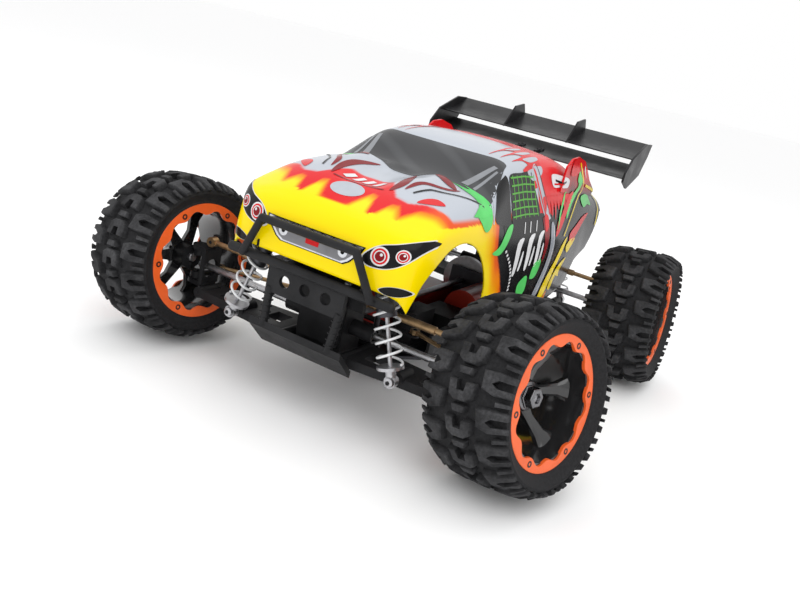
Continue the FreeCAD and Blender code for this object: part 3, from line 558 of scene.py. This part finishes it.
def section(y, count):
    """Points down one side of the shell at a station, from the middle of the top to the lower edge."""
    knots = [row[0] for row in STATIONS]
    top, drop, shoulder_x, shoulder_z, sill_x, sill_z = (
        spline(knots, [row[k] for row in STATIONS], y) for k in range(1, 7))
    half = [Vector((0, top)), Vector((shoulder_x * 0.55, top - drop * 0.25)),
            Vector((shoulder_x * 0.86, top - drop)), Vector((shoulder_x, shoulder_z)),
            Vector((sill_x, (shoulder_z + sill_z) / 2)), Vector((sill_x, sill_z))]
    points = [Vector((-half[1].x, half[1].y))] + half
    lengths = [-(half[1] - half[0]).length, 0.0]
    for before, after in zip(half, half[1:]):
        lengths.append(lengths[-1] + (after - before).length)
    fine = [spline(lengths, points, lengths[-1] * k / FINE) for k in range(FINE + 1)]
    edge = sill_height(y, sill_z)
    cut = next((k for k in range(FINE // 3, FINE + 1) if fine[k].y < edge), FINE)
    before = fine[cut - 1]
    share = (before.y - edge) / max(before.y - fine[cut].y, 1e-6)
    end = cut - 1 + min(share, 1.0)
    row = []
    for step in range(count + 1):
        where = end * step / count
        k = min(int(where), FINE - 1)
        spot = fine[k].lerp(fine[k + 1], where - k)
        lift = relief(spot.x, y) * smooth(30, 0, abs(spot.x) - 50)
        row.append(Vector((spot.x, y, spot.y + lift)))
    return row


FLAME_EDGE = ((0, -213), (12, -210), (21, -188), (26, -190), (33, -217), (41, -192), (47, -190), (54, -200),
              (62, -184), (75, -176), (96, -172))
SILVER_EDGE = ((0, -156), (20, -158), (29, -172), (38, -183), (50, -184), (62, -174), (78, -168),
               (96, -164))


def paint(spot):
    """The shares of orange, red, silver and black at a point of the shell."""
    x, y, z = abs(spot.x), spot.y, spot.z
    wave = 4 * math.sin(y * 0.21 + x * 0.13) + 3 * math.sin(x * 0.31)
    flames = straight(FLAME_EDGE, x)
    pale = straight(SILVER_EDGE, x)
    side_edge = -80 + max(150 - z, 0) * 0.62
    orange = red = silver = 0.0
    if z > 178:
        orange = smooth(flames - 13, flames - 2, y)
        red = smooth(flames - 3, flames + 1, y)
        silver = smooth(pale - 1.5, pale + 1.5, y) * smooth(180, 184, z)
        red *= 1 - 0.35 * smooth(60, 75, x)
    else:
        orange = max(smooth(side_edge - 30, side_edge - 8, y + wave * 0.6),
                     0.8 * smooth(-130, -95, y) * smooth(160, 178, z))
        red = 0.6 * smooth(side_edge - 11, side_edge - 2, y + wave)
    if z > 176 and y > 26 + 0.25 * (z - 215):
        silver, red = 0.0, 1.0
    black = smooth(side_edge - 1.5, side_edge + 1.5, y) if z < 176 and y > -112 else 0.0
    if y > 118 + (z - 200) * 0.9 and z < 205 and x > 78:
        black = 1.0
    if z < 184 and y > 60:
        black = 1.0
    return orange, red, silver, black


def body_shell():
    """The skin on a grid of sections, its front cap and its thickness."""
    stations = set()
    for k in range(SHELL_STEPS + 1):
        stations.add(round(STATIONS[0][0] + (SHELL_TAIL - STATIONS[0][0]) * k / SHELL_STEPS, 2))
    for k in range(25):
        stations.add(round(ARCH_Y - ARCH_RADIUS * math.cos(math.pi * k / 24), 2))
    for edge in (-1, 1):
        stations.add(ARCH_Y + edge * (ARCH_RADIUS + 0.2))
    bm = bmesh.new()
    layers = [bm.verts.layers.float.new(name) for name in ("orange", "red", "silver", "black")]
    rows = []
    for y in sorted(stations):
        half = section(y, SHELL_COUNT)
        line = [Vector((-p.x, p.y, p.z)) for p in reversed(half[1:])] + half
        rows.append([bm.verts.new(p) for p in line])
    for here, there in zip(rows, rows[1:]):
        for k in range(len(here) - 1):
            middle = (here[k].co + there[k + 1].co) / 2
            if middle.y > 180 and abs(middle.x) < 19:
                continue
            bm.faces.new((here[k], here[k + 1], there[k + 1], there[k]))
    low = min(v.co.z for v in rows[0])
    bottom = [bm.verts.new((v.co.x, v.co.y, low)) for v in rows[0]]
    previous = rows[0]
    for step in range(1, 9):
        level = [bm.verts.new(a.co.lerp(b.co, step / 8)) for a, b in zip(rows[0], bottom)]
        for k in range(len(level) - 1):
            if (previous[k].co - level[k].co).length + (previous[k + 1].co - level[k + 1].co).length > 1e-4:
                bm.faces.new((previous[k], level[k], level[k + 1], previous[k + 1]))
        previous = level
    for vert in [v for v in bm.verts if not v.link_faces]:
        bm.verts.remove(vert)
    for sign in (1, -1):
        fin = [[bm.verts.new((sign * x, y, z)) for y, z in FIN_OUTLINE] for x in (82, 84)]
        for outline in fin:
            bm.faces.new(outline)
        for k in range(len(FIN_OUTLINE)):
            n = (k + 1) % len(FIN_OUTLINE)
            bm.faces.new((fin[0][k], fin[0][n], fin[1][n], fin[1][k]))
    for vert in bm.verts:
        for layer, share in zip(layers, paint(vert.co)):
            vert[layer] = share
    bmesh.ops.remove_doubles(bm, verts=bm.verts, dist=0.002)
    skin = BVHTree.FromBMesh(bm)
    piece = finish_piece("painted_shell", bm, (SHELL, SHELL_INNER_SHADE), "shell", ["body_shell"],
                         angle=50)
    thickness = piece.modifiers.new("thickness", "SOLIDIFY")
    thickness.thickness = 1.4 * MM
    thickness.offset = -1
    # The inner faces take the near-black painted shade.
    thickness.material_offset = 1
    return skin


SKIN = body_shell()

# Graphics: each outline is drawn flat, filled with a mesh and laid on the skin.

DROPS = {
    "side": lambda u, v, sign: (Vector((sign * 200, u, v)), Vector((-sign, 0, 0))),
    "top": lambda u, v, sign: (Vector((sign * u, v, 400)), Vector((0, 0, -1))),
    "front": lambda u, v, sign: (Vector((sign * u, -400, v)), Vector((0, 1, 0))),
}
GRAPHICS = {}


def rounded(outline, steps=5):
    """A smooth closed curve through the outline's points."""
    count = len(outline)
    spots = [Vector(p) for p in outline]
    curve = []
    for k in range(count):
        a, b, c, d = (spots[(k + shift) % count] for shift in (-1, 0, 1, 2))
        for step in range(steps):
            t = step / steps
            curve.append(0.5 * (2 * b + (c - a) * t + (2 * a - 5 * b + 4 * c - d) * t * t
                                + (3 * b - a - 3 * c + d) * t ** 3))
    return curve


def ribbon(points, width, taper=False):
    """The outline of a brush stroke along a line of points."""
    spots = [Vector(p) for p in points]
    left, right = [], []
    for k, spot in enumerate(spots):
        ahead = (spots[min(k + 1, len(spots) - 1)] - spots[max(k - 1, 0)]).normalized()
        share = 1 - k / (len(spots) - 1) if taper else 1
        across = Vector((-ahead.y, ahead.x)) * (width / 2 * max(share, 0.06))
        left.append(spot + across)
        right.append(spot - across)
    return left + right[::-1]


def disc(centre, radius, squash=1.0, sides=28):
    """The outline of a round or flattened spot."""
    return [Vector((centre[0] + radius * math.cos(2 * math.pi * k / sides),
                    centre[1] + radius * squash * math.sin(2 * math.pi * k / sides))) for k in range(sides)]


def inside(point, outline):
    """Whether a flat point lies within a closed outline."""
    hit = False
    for a, b in zip(outline, outline[1:] + outline[:1]):
        if (a.y > point.y) != (b.y > point.y):
            crossing = (b.x - a.x) * (point.y - a.y) / (b.y - a.y) + a.x
            if point.x < crossing:
                hit = not hit
    return hit


def graphic(ink, view, outline, layer=1, signs=(1, -1), gap=2.5):
    """Lays a filled outline on the skin, seen from the side, the top or the front."""
    outline = [Vector(p) for p in outline]
    dense = []
    for a, b in zip(outline, outline[1:] + outline[:1]):
        parts = max(1, int((b - a).length / gap))
        dense += [a.lerp(b, k / parts) for k in range(parts)]
    low_u, high_u = min(p.x for p in dense), max(p.x for p in dense)
    low_v, high_v = min(p.y for p in dense), max(p.y for p in dense)
    fill = []
    for i in range(int((high_u - low_u) / gap) + 1):
        for j in range(int((high_v - low_v) / gap) + 1):
            spot = Vector((low_u + gap * (i + 0.5), low_v + gap * (j + 0.5)))
            if inside(spot, dense) and min((spot - p).length for p in dense) > gap * 0.5:
                fill.append(spot)
    edges = [(k, (k + 1) % len(dense)) for k in range(len(dense))]
    verts, _, faces, _, _, _ = delaunay_2d_cdt(dense + fill, edges, [], 1, 1e-4)
    bm = GRAPHICS.setdefault(ink, bmesh.new())
    for sign in signs:
        laid = []
        for vert in verts:
            start, way = DROPS[view](vert.x, vert.y, sign)
            spot, normal, _, _ = SKIN.ray_cast(start, way)
            if spot is None:
                laid.append(None)
                continue
            if normal.dot(way) > 0:
                normal = -normal
            laid.append(bm.verts.new(spot + normal * (0.17 * layer) - way * 0.05))
        for face in faces:
            corners = [laid[k] for k in face]
            if None not in corners:
                spread = max((a.co - b.co).length for a in corners for b in corners)
                if spread < 6 * gap:
                    bm.faces.new(corners)


def mark(ink, view, outline, layer=1, steps=5, **options):
    """A graphic with rounded corners."""
    graphic(ink, view, rounded(outline, steps), layer, **options)


# Windows.
mark("window", "top", ((0, -50), (32, -48), (62, -41), (68, -52), (80, -93), (74, -99), (56, -102),
                       (38, -100), (22, -108), (0, -112), (-22, -108), (-38, -100), (-56, -102),
                       (-74, -99), (-80, -93), (-68, -52), (-62, -41), (-32, -48)), signs=(1,))
# Painted reflection: two pale strips on the windscreen stand in for its sheen.
graphic("sheen", "top", ((48, -92), (55, -92), (63, -54), (59, -54)), 2)
graphic("sheen", "top", ((60, -92), (63, -93), (66, -58), (64, -58)), 2)
mark("black", "side", ((-57, 211), (-70, 204), (-81, 194), (-90, 183), (-86, 176), (-70, 173), (-51, 172),
                       (-51, 190), (-51, 211)), 2)
graphic("silver", "side", ribbon(((-52, 214), (-66, 209), (-80, 199), (-92, 184), (-94, 176)), 3.0), 1)
mark("black", "side", ((-47, 212), (-20, 215), (6, 215), (12, 200), (22, 178), (2, 174), (-30, 172),
                       (-46, 172), (-48, 190)), 2)
for k in range(6):
    y = -41 + 10 * k
    graphic("net", "side", ribbon(((y, 213), (y + 2, 192), (y + 3 + k, 176)), 1.6), 3)
for k in range(6):
    z = 178 + 6.6 * k
    graphic("net", "side", ribbon(((-46, z), (-16, z + 1), (17 - 2 * k, z)), 1.4), 4)

# The pillar behind the windows, the roof's flames and the rear quarter.
graphic("silver", "side", rounded(((7, 216), (20, 222), (29, 205), (42, 184), (52, 172), (38, 172),
                                   (27, 184), (17, 204))), 2)
graphic("red", "side", rounded(((11, 218), (16, 216), (24, 200), (34, 182), (42, 172), (39, 172), (30, 184),
                                (21, 200))), 3)
graphic("black", "side", ribbon(((20, 222), (30, 205), (43, 184), (53, 172)), 1.4), 3)
for start, reach in ((44, -40), (54, -36), (63, -28), (71, -14)):
    mark("red", "top", ((start + 6, 30), (start + 8, 6), (start + 3, -8), (start + 1, reach), (start, -10),
                        (start - 2, 8), (start - 2, 30)), 2)
    mark("silver", "top", ((start + 4, 31), (start + 5.5, 8), (start + 2, -5), (start + 1, 8),
                           (start + 0.5, 31)), 3)
for k in range(9):
    y = 36 + 9.5 * k
    length = 8 + 9 * ((k * 5) % 4) / 3
    mark("red", "side", ((y - 5, 192), (y + 5, 192), (y + 4, 184), (y + 2, 186 - length), (y - 2, 184)), 3,
         steps=4)
mark("white", "side", ((58, 212), (78, 212), (97, 208), (98, 200), (82, 200), (62, 201)), 2)
graphic("black", "side", ribbon(((68, 207), (80, 205), (88, 206)), 2.2), 3)
graphic("red", "side", ribbon(((64, 203.5), (74, 203), (84, 204)), 1.6), 3)

# The rear bands.
mark("red", "side", ((70, 152), (84, 158), (102, 174), (122, 191), (116, 195), (98, 184), (84, 172),
                     (74, 166)), 4)
mark("green", "side", ((74, 158), (84, 176), (92, 186), (96, 196), (88, 188), (78, 174)), 5)
mark("green", "side", ((104, 168), (118, 182), (136, 192), (146, 204), (128, 216), (122, 224), (126, 208),
                       (134, 200), (116, 188), (102, 174)), 4)
graphic("yellow", "side", ribbon(((118, 226), (136, 214), (152, 202), (150, 194), (132, 182), (112, 164),
                                  (98, 150)), 2.0), 5)
mark("red", "side", ((96, 231), (112, 232), (134, 227), (128, 218), (112, 212), (96, 214)), 4)
graphic("white", "side", ribbon(((138, 222), (146, 214), (156, 208)), 2.6, True), 5)
mark("green", "side", ((152, 186), (166, 190), (184, 186), (196, 176), (180, 178), (164, 176)), 4)
graphic("yellow", "side", ribbon(((160, 200), (182, 196), (208, 190), (226, 180), (232, 170), (220, 152)),
                                 3.0), 5)
mark("red", "side", ((120, 150), (140, 158), (164, 166), (186, 168), (168, 160), (146, 148), (126, 138)), 4)

# The lower side.
graphic("black", "side", ((-50, 134), (-58, 150), (-68, 172), (-8, 177), (28, 178), (50, 172), (66, 150),
                          (50, 108), (-20, 108), (-36, 112)), 1)
for k in range(12):
    t = k / 11
    y = -57 + 21 * t + 5 * math.sin(math.pi * t)
    z = 150 - 38 * t
    graphic("white", "side", ribbon(((y - 5, z - 1), (y - 1.5, z)), 2.2), 3)
mark("green", "side", ((-92, 151), (-76, 156), (-58, 170), (-46, 172), (-50, 164), (-62, 154), (-76, 148)),
     3)
for base, tilt in (((-36, 150), 10), ((-8, 152), 10), ((18, 153), 9)):
    y, z = base
    mark("white", "side", ((y - 4, z - 22), (y + 2, z - 24), (y + tilt, z - 2), (y + tilt + 8, z + 8),
                           (y + 2, z + 4)), 3, steps=3)
    mark("white", "side", ((y + 8, z - 20), (y + 12, z - 21), (y + tilt + 8, z - 6),
                           (y + tilt + 5, z - 5)), 3, steps=3)
for y in (-18, -4, 12):
    graphic("white", "side", ribbon(((y, 162), (y + 2, 172)), 2.0), 3)
mark("green", "side", ((-16, 114), (2, 120), (8, 104), (-4, 98), (-14, 104)), 3)
mark("green", "side", ((16, 130), (34, 132), (28, 116), (12, 116)), 3)
mark("eye", "side", ((30, 173), (44, 170), (50, 156), (44, 138), (36, 130), (38, 150)), 3)
mark("red", "side", ((34, 176), (44, 174), (46, 164), (38, 160)), 4)
mark("grey", "side", ((54, 166), (63, 164), (68, 144), (60, 116), (50, 92), (36, 92), (46, 116),
                      (55, 142)), 4)
graphic("white", "side", ribbon(((62, 164), (65, 146), (57, 118), (46, 94)), 1.2), 5)
mark("yellow", "side", ((58, 86), (66, 108), (82, 126), (96, 140), (112, 148), (100, 130), (88, 116),
                        (82, 100), (74, 86)), 3)
mark("orange", "side", ((40, 80), (56, 88), (70, 84), (84, 92), (78, 80), (60, 79)), 4)
mark("yellow", "side", ((84, 96), (92, 112), (104, 120), (122, 124), (110, 112), (112, 104), (100, 106),
                        (94, 92)), 4)
mark("yellow", "side", ((112, 138), (126, 144), (142, 144), (132, 136), (120, 130)), 4)

# The bonnet: a pale oval and a banner in its hollow, dark strokes round the scoops, partly livery and
# partly painted shade along the scoops' sides.
mark("silver", "top", disc((0, -194), 15, 0.62, 12), 1, signs=(1,))
for k in range(4):
    graphic("white", "top", ribbon(((-17 + 9.5 * k, -175), (-12.5 + 9.5 * k, -164)), 5.0), 2, signs=(1,))
graphic("eye", "top", ribbon(((-24, -180), (0, -183), (24, -180)), 1.6), 2, signs=(1,))
# Dark red and black strokes along both sides of each scoop: livery strokes that also serve as painted shade
# on the scoops' flanks.
mark("eye", "top", ((28, -178), (33, -160), (28, -138), (18, -118), (22, -140), (25, -160)), 2)
mark("eye", "top", ((36, -168), (42, -152), (50, -140), (58, -126), (60, -116), (52, -130), (44, -142),
                    (36, -154)), 2)
graphic("black", "top", ribbon(((44, -168), (50, -150), (62, -132), (74, -118), (80, -106)), 1.8), 3)
mark("eye", "top", ((34, -116), (46, -122), (58, -120), (50, -111), (40, -108)), 3)
mark("red", "top", ((54, -178), (64, -170), (70, -160), (62, -158), (56, -166)), 2)
graphic("green", "side", ((-132, 184), (-114, 191), (-98, 205), (-94, 203), (-92, 190), (-96, 184),
                          (-114, 182)), 3)
mark("green", "top", ((84, -124), (81, -110), (78, -101), (83, -96), (88, -99), (89, -114)), 3)

# Lamps, recesses and the grille on the nose.
for grow, ink, layer in ((1.0, "white", 1), (0.93, "black", 2)):
    centre = Vector((65, 155))
    lamp = [centre + (Vector(p) - centre) * grow for p in ((44, 150), (54, 160), (68, 165), (90, 172),
                                                           (84, 160), (75, 150), (62, 144), (48, 144))]
    graphic(ink, "front", rounded(lamp), layer, gap=1.5)
    recess_centre = Vector((73, 130))
    recess = [recess_centre + (Vector(p) - recess_centre) * grow for p in ((62, 129), (70, 133), (80, 134),
                                                                           (86, 131), (79, 127), (68, 126))]
    graphic(ink, "front", rounded(recess), layer, gap=1.5)
for centre, size in (((58, 153), 7.2), ((74, 157), 5.0)):
    for layer, (ink, share) in enumerate((("white", 1.0), ("red", 0.82), ("white", 0.62), ("eye", 0.5)),
                                         start=3):
        graphic(ink, "front", disc(centre, size * share), layer, gap=1.6)
    graphic("white", "front", disc((centre[0] + size * 0.14, centre[1] + size * 0.2), size * 0.16,
                                   sides=12), 7, gap=1.0)
GRILLE = ((-46, 156), (46, 156), (44, 151), (35, 141), (30, 138), (-30, 138), (-35, 141), (-44, 151))
for ink, share, layer in (("black", 1.0, 1), ("chrome", 0.96, 2), ("mesh", 0.9, 3)):
    graphic(ink, "front", [(x * share, 147 + (z - 147) * (share * 2 - 1)) for x, z in GRILLE], layer,
            signs=(1,))
for x in (-28, 28):
    graphic("chrome", "front", disc((x, 147), 4.2), 4, signs=(1,), gap=1.4)
    graphic("black", "front", disc((x, 147), 1.7), 5, signs=(1,), gap=1.0)
graphic("red", "front", ((-6, 143.5), (6, 143.5), (6.6, 150), (-6.6, 150)), 4, signs=(1,))

INK["window"] = WINDOW
# Pale grey for the painted reflection strips on the windscreen.
INK["sheen"] = gloss_paint("window_painted_sheen", (0.22, 0.23, 0.25), 0.2)
for ink, bm in GRAPHICS.items():
    finish_piece(f"shell_graphics_{ink}", bm, INK[ink], "shell", angle=60)


# The wing: two curved blades, end plates and fins.

def add_blade(bm, front, middle, back, thick, half_span):
    """A curved blade with a rounded front edge, from its side view."""
    count = 16
    knots = [0.0, 0.5, 1.0]
    line = [spline(knots, [Vector(front), Vector(middle), Vector(back)],
                   k / count) for k in range(count + 1)]
    upper, lower = [], []
    for k, spot in enumerate(line):
        share = k / count
        half = thick / 2 * min(1.0, math.sqrt(share * 6) + 0.25) * (1 - 0.5 * share)
        upper.append(spot)
        lower.append(spot - Vector((0, 2 * half)))
    outline = upper + lower[::-1]
    rows = []
    spans = 24
    for step in range(spans + 1):
        x = -half_span + 2 * half_span * step / spans
        rows.append([bm.verts.new((x, p.x, p.y)) for p in outline])
    for here, there in zip(rows, rows[1:]):
        for k in range(len(outline)):
            n = (k + 1) % len(outline)
            bm.faces.new((here[k], here[n], there[n], there[k]))
    bm.faces.new(rows[0])
    bm.faces.new(rows[-1])


def add_plate(bm, outline, x, width):
    """A plate with a side view of (y, z) points."""
    faces = [[bm.verts.new((x + shift, p[0], p[1])) for p in outline] for shift in (0, width)]
    for face in faces:
        bm.faces.new(face)
    for k in range(len(outline)):
        n = (k + 1) % len(outline)
        bm.faces.new((faces[0][k], faces[0][n], faces[1][n], faces[1][k]))


def rear_wing():
    """Blades, end plates and fins, with three short posts under the lower blade on each side."""
    bm = bmesh.new()
    add_blade(bm, (188, 238.8), (218, 243.6), (248.6, 255.6), 2.4, 121)
    add_blade(bm, (164, 218), (196, 221), (226, 230), 2.4, 121)
    plate = ((162, 214), (184, 206), (226, 220), (243, 242), (249, 256), (224, 256), (180, 240), (163, 224))
    fin = ((190, 237), (218, 242), (248.8, 255), (240, 266), (214, 262))
    for sign in (1, -1):
        add_plate(bm, plate, sign * 122 - 1.2, 2.4)
        add_plate(bm, fin, sign * 40 - 1, 2)
        for y in (178, 190, 202):
            add_tube(bm, (sign * 12, y, 216), (sign * 12, y, 221.5), 3.4, 2.6)
    finish_piece("wing_blades", bm, WING_BLACK, "chassis", ["rear_wing"], bevel=0.5, angle=32)
    bm = bmesh.new()
    for sign in (1, -1):
        for y in (186, 200):
            add_tube(bm, (sign * 12, y, 221.4), (sign * 12, y, 223.6), 2.4, 2.0, 16)
    finish_piece("wing_screws", bm, SCREW, "chassis", angle=40)


rear_wing()


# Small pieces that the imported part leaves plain.

def screw_head(bm, spot, way, radius=2.6, height=1.6):
    """A button head with a hexagon socket, standing on a face."""
    place = Matrix.Translation(spot) @ Vector(way).to_track_quat("X", "Z").to_matrix().to_4x4()
    add_turned(bm, [(0, 0.3), (0, radius), (height * 0.6, radius * 0.92), (height, radius * 0.6),
                    (height, radius * 0.46), (height * 0.4, radius * 0.44), (height * 0.4, 0.3)], place,
               sides=24)


def bumper_trim():
    """Ribs on the skid plate and screws through the deck."""
    bm = bmesh.new()
    slope = math.atan2(20, -22)
    for k in range(7):
        x = -36 + 12 * k
        turn = Matrix.Rotation(slope, 4, "X")
        add_block(bm, (1.6, 24, 1.4), (x, -218.0, 60.6), turn)
    for sign in (1, -1):
        for k in range(5):
            add_block(bm, (7.2, 6.6, 1.2), (sign * (32.4 + 0.3 * k), -226.6 + 0.5 * k, 72 + 5 * k))
    finish_piece("bumper_ribs", bm, BLACK, "chassis", bevel=0.25)
    bm = bmesh.new()
    for x in (-30, 30):
        screw_head(bm, (x, -214, 120), (0, 0, 1))
    for x in (-32, 0, 32):
        screw_head(bm, (x, -211, 53.7), (0, -0.67, 0.74), 2.4)
    finish_piece("bumper_screws", bm, STEEL, "chassis", angle=40)


bumper_trim()


KNURL_RIDGES = 30


def shock_trim(end, side):
    """The knurled cap and collar of a shock, and the screws through its eyes."""
    sign, way = SIDES[side], -1 if end == "front" else 1
    top = Vector((sign * 47, way * 206, 158))
    low = Vector((sign * 81.4, way * 206, 56))
    down = (low - top).normalized()
    bm = bmesh.new()
    for start, length, radius in ((5.6, 6.6, 8.9), (22.2, 3.6, 10.8)):
        for k in range(KNURL_RIDGES):
            turn = aim(down) @ Matrix.Rotation(2 * math.pi * k / KNURL_RIDGES, 4, "Z")
            middle = Matrix.Translation(top + down * (start + length / 2))
            place = middle @ turn @ Matrix.Translation((radius, 0, 0))
            bmesh.ops.create_cube(bm, size=1, matrix=place @ Matrix.Diagonal((0.7, 1.0, length, 1)))
    finish_piece(f"{end}_{side}_shock_knurl", bm, SHOCK_GREY, f"{end}_{side}_shock",
                 bevel=0.15)
    bm = bmesh.new()
    screw_head(bm, top + Vector((0, way * 4.4, 0)), (0, way, 0), 4.2, 1.2)
    finish_piece(f"{end}_{side}_shock_top_screw", bm, STEEL, "chassis", angle=40)
    bm = bmesh.new()
    screw_head(bm, low + Vector((0, way * 4.2, 0)), (0, way, 0), 4.2, 2.2)
    finish_piece(f"{end}_{side}_shock_low_screw", bm, STEEL, f"{end}_{side}_arm", angle=40)


for end in ENDS:
    for side in SIDES:
        shock_trim(end, side)

for node in ("front_gearbox", "rear_gearbox", "front_shock_tower", "rear_shock_tower", "side_guards",
             "wing_mount", "drag_link"):
    dress(node, BLACK)
dress("front_bumper", BLACK, bevel=0.6)
dress("chassis_plate", PLATE)
dress("motor_mount", PLATE)
dress("steering_servo", BLACK)
dress("speed_controller", BLACK, bevel=1.2)
dress("battery_pack", WRAP_RED, bevel=3.0)
dress("drive_motor", MOTOR_RED)
dress("motor_pinion", STEEL)
dress("centre_drive", STEEL)
for side in SIDES:
    dress(f"{side}_bellcrank", BLACK)
    dress(f"{side}_tie_rod", BRONZE)
    dress(f"{side}_steering_knuckle", BLACK)
for end in ENDS:
    for side in SIDES:
        dress(f"{end}_{side}_lower_arm", BLACK, bevel=0.8)
        dress(f"{end}_{side}_upper_link", BRONZE)
        dress(f"{end}_{side}_half_shaft", STEEL)
        dress(f"{end}_{side}_hub_carrier", BLACK)
        dress(f"{end}_{side}_shock_body", SHOCK_GREY)
        dress(f"{end}_{side}_shock_rod", STEEL, bevel=0.2)
        dress(f"{end}_{side}_spring", SPRING_WHITE, bevel=0.05)


# The stage: a pale floor, soft studio light and the camera.

def floor():
    """A wide pale plane just under the tyres."""
    bm = bmesh.new()
    bmesh.ops.create_grid(bm, x_segments=2, y_segments=2, size=60.0,
                          matrix=Matrix.Translation((0, 0, -0.0004)))
    mesh = bpy.data.meshes.new("floor")
    bm.to_mesh(mesh)
    bm.free()
    s = Shader("studio_floor")
    mesh.materials.append(s.set(Base_Color=(0.97, 0.97, 0.972), Roughness=0.8))
    thing = bpy.data.objects.new("floor", mesh)
    bpy.context.scene.collection.objects.link(thing)


def light(name, spot, size, power):
    """A soft rectangular lamp that faces the middle of the vehicle."""
    lamp = bpy.data.lights.new(name, "AREA")
    lamp.shape = "RECTANGLE"
    lamp.size, lamp.size_y = size
    lamp.energy = power
    thing = bpy.data.objects.new(name, lamp)
    bpy.context.scene.collection.objects.link(thing)
    aimed = (-Vector(spot)).to_track_quat("-Z", "Y").to_matrix().to_4x4()
    thing.matrix_world = Matrix.Translation(spot) @ aimed


FOCAL_LENGTH = 36.68
SENSOR_WIDTH = 36.0
CAMERA_SPOT = (0.33007, -0.73632, 0.30115)


def camera():
    """Ahead of the left front wheel and a little above, with the horizon tilted."""
    turn, rise, roll = 0.452, 0.297, 0.232
    back = Vector((math.sin(turn) * math.cos(rise), -math.cos(turn) * math.cos(rise), math.sin(rise)))
    right = (-back).cross(Vector((0, 0, 1))).normalized()
    up = right.cross(-back)
    leant_right = right * math.cos(roll) + up * math.sin(roll)
    leant_up = up * math.cos(roll) - right * math.sin(roll)
    lens = bpy.data.cameras.new("camera")
    lens.lens = FOCAL_LENGTH
    lens.sensor_width = SENSOR_WIDTH
    thing = bpy.data.objects.new("camera", lens)
    bpy.context.scene.collection.objects.link(thing)
    turned = Matrix((leant_right, leant_up, back)).transposed().to_4x4()
    thing.matrix_world = Matrix.Translation(CAMERA_SPOT) @ turned
    bpy.context.scene.camera = thing


floor()
light("key_light", (0.9, -1.2, 1.7), (1.4, 1.4), 11)
light("fill_light", (-1.5, -0.8, 1.0), (1.6, 1.6), 3)
light("top_light", (0.0, 0.4, 1.9), (2.2, 2.2), 8)
camera()
world = bpy.data.worlds.new("studio")
world.use_nodes = True
world.node_tree.nodes["Background"].inputs["Color"].default_value = (1, 1, 1, 1)
world.node_tree.nodes["Background"].inputs["Strength"].default_value = 1.0
bpy.context.scene.world = world
bpy.context.scene.view_settings.view_transform = "Standard"
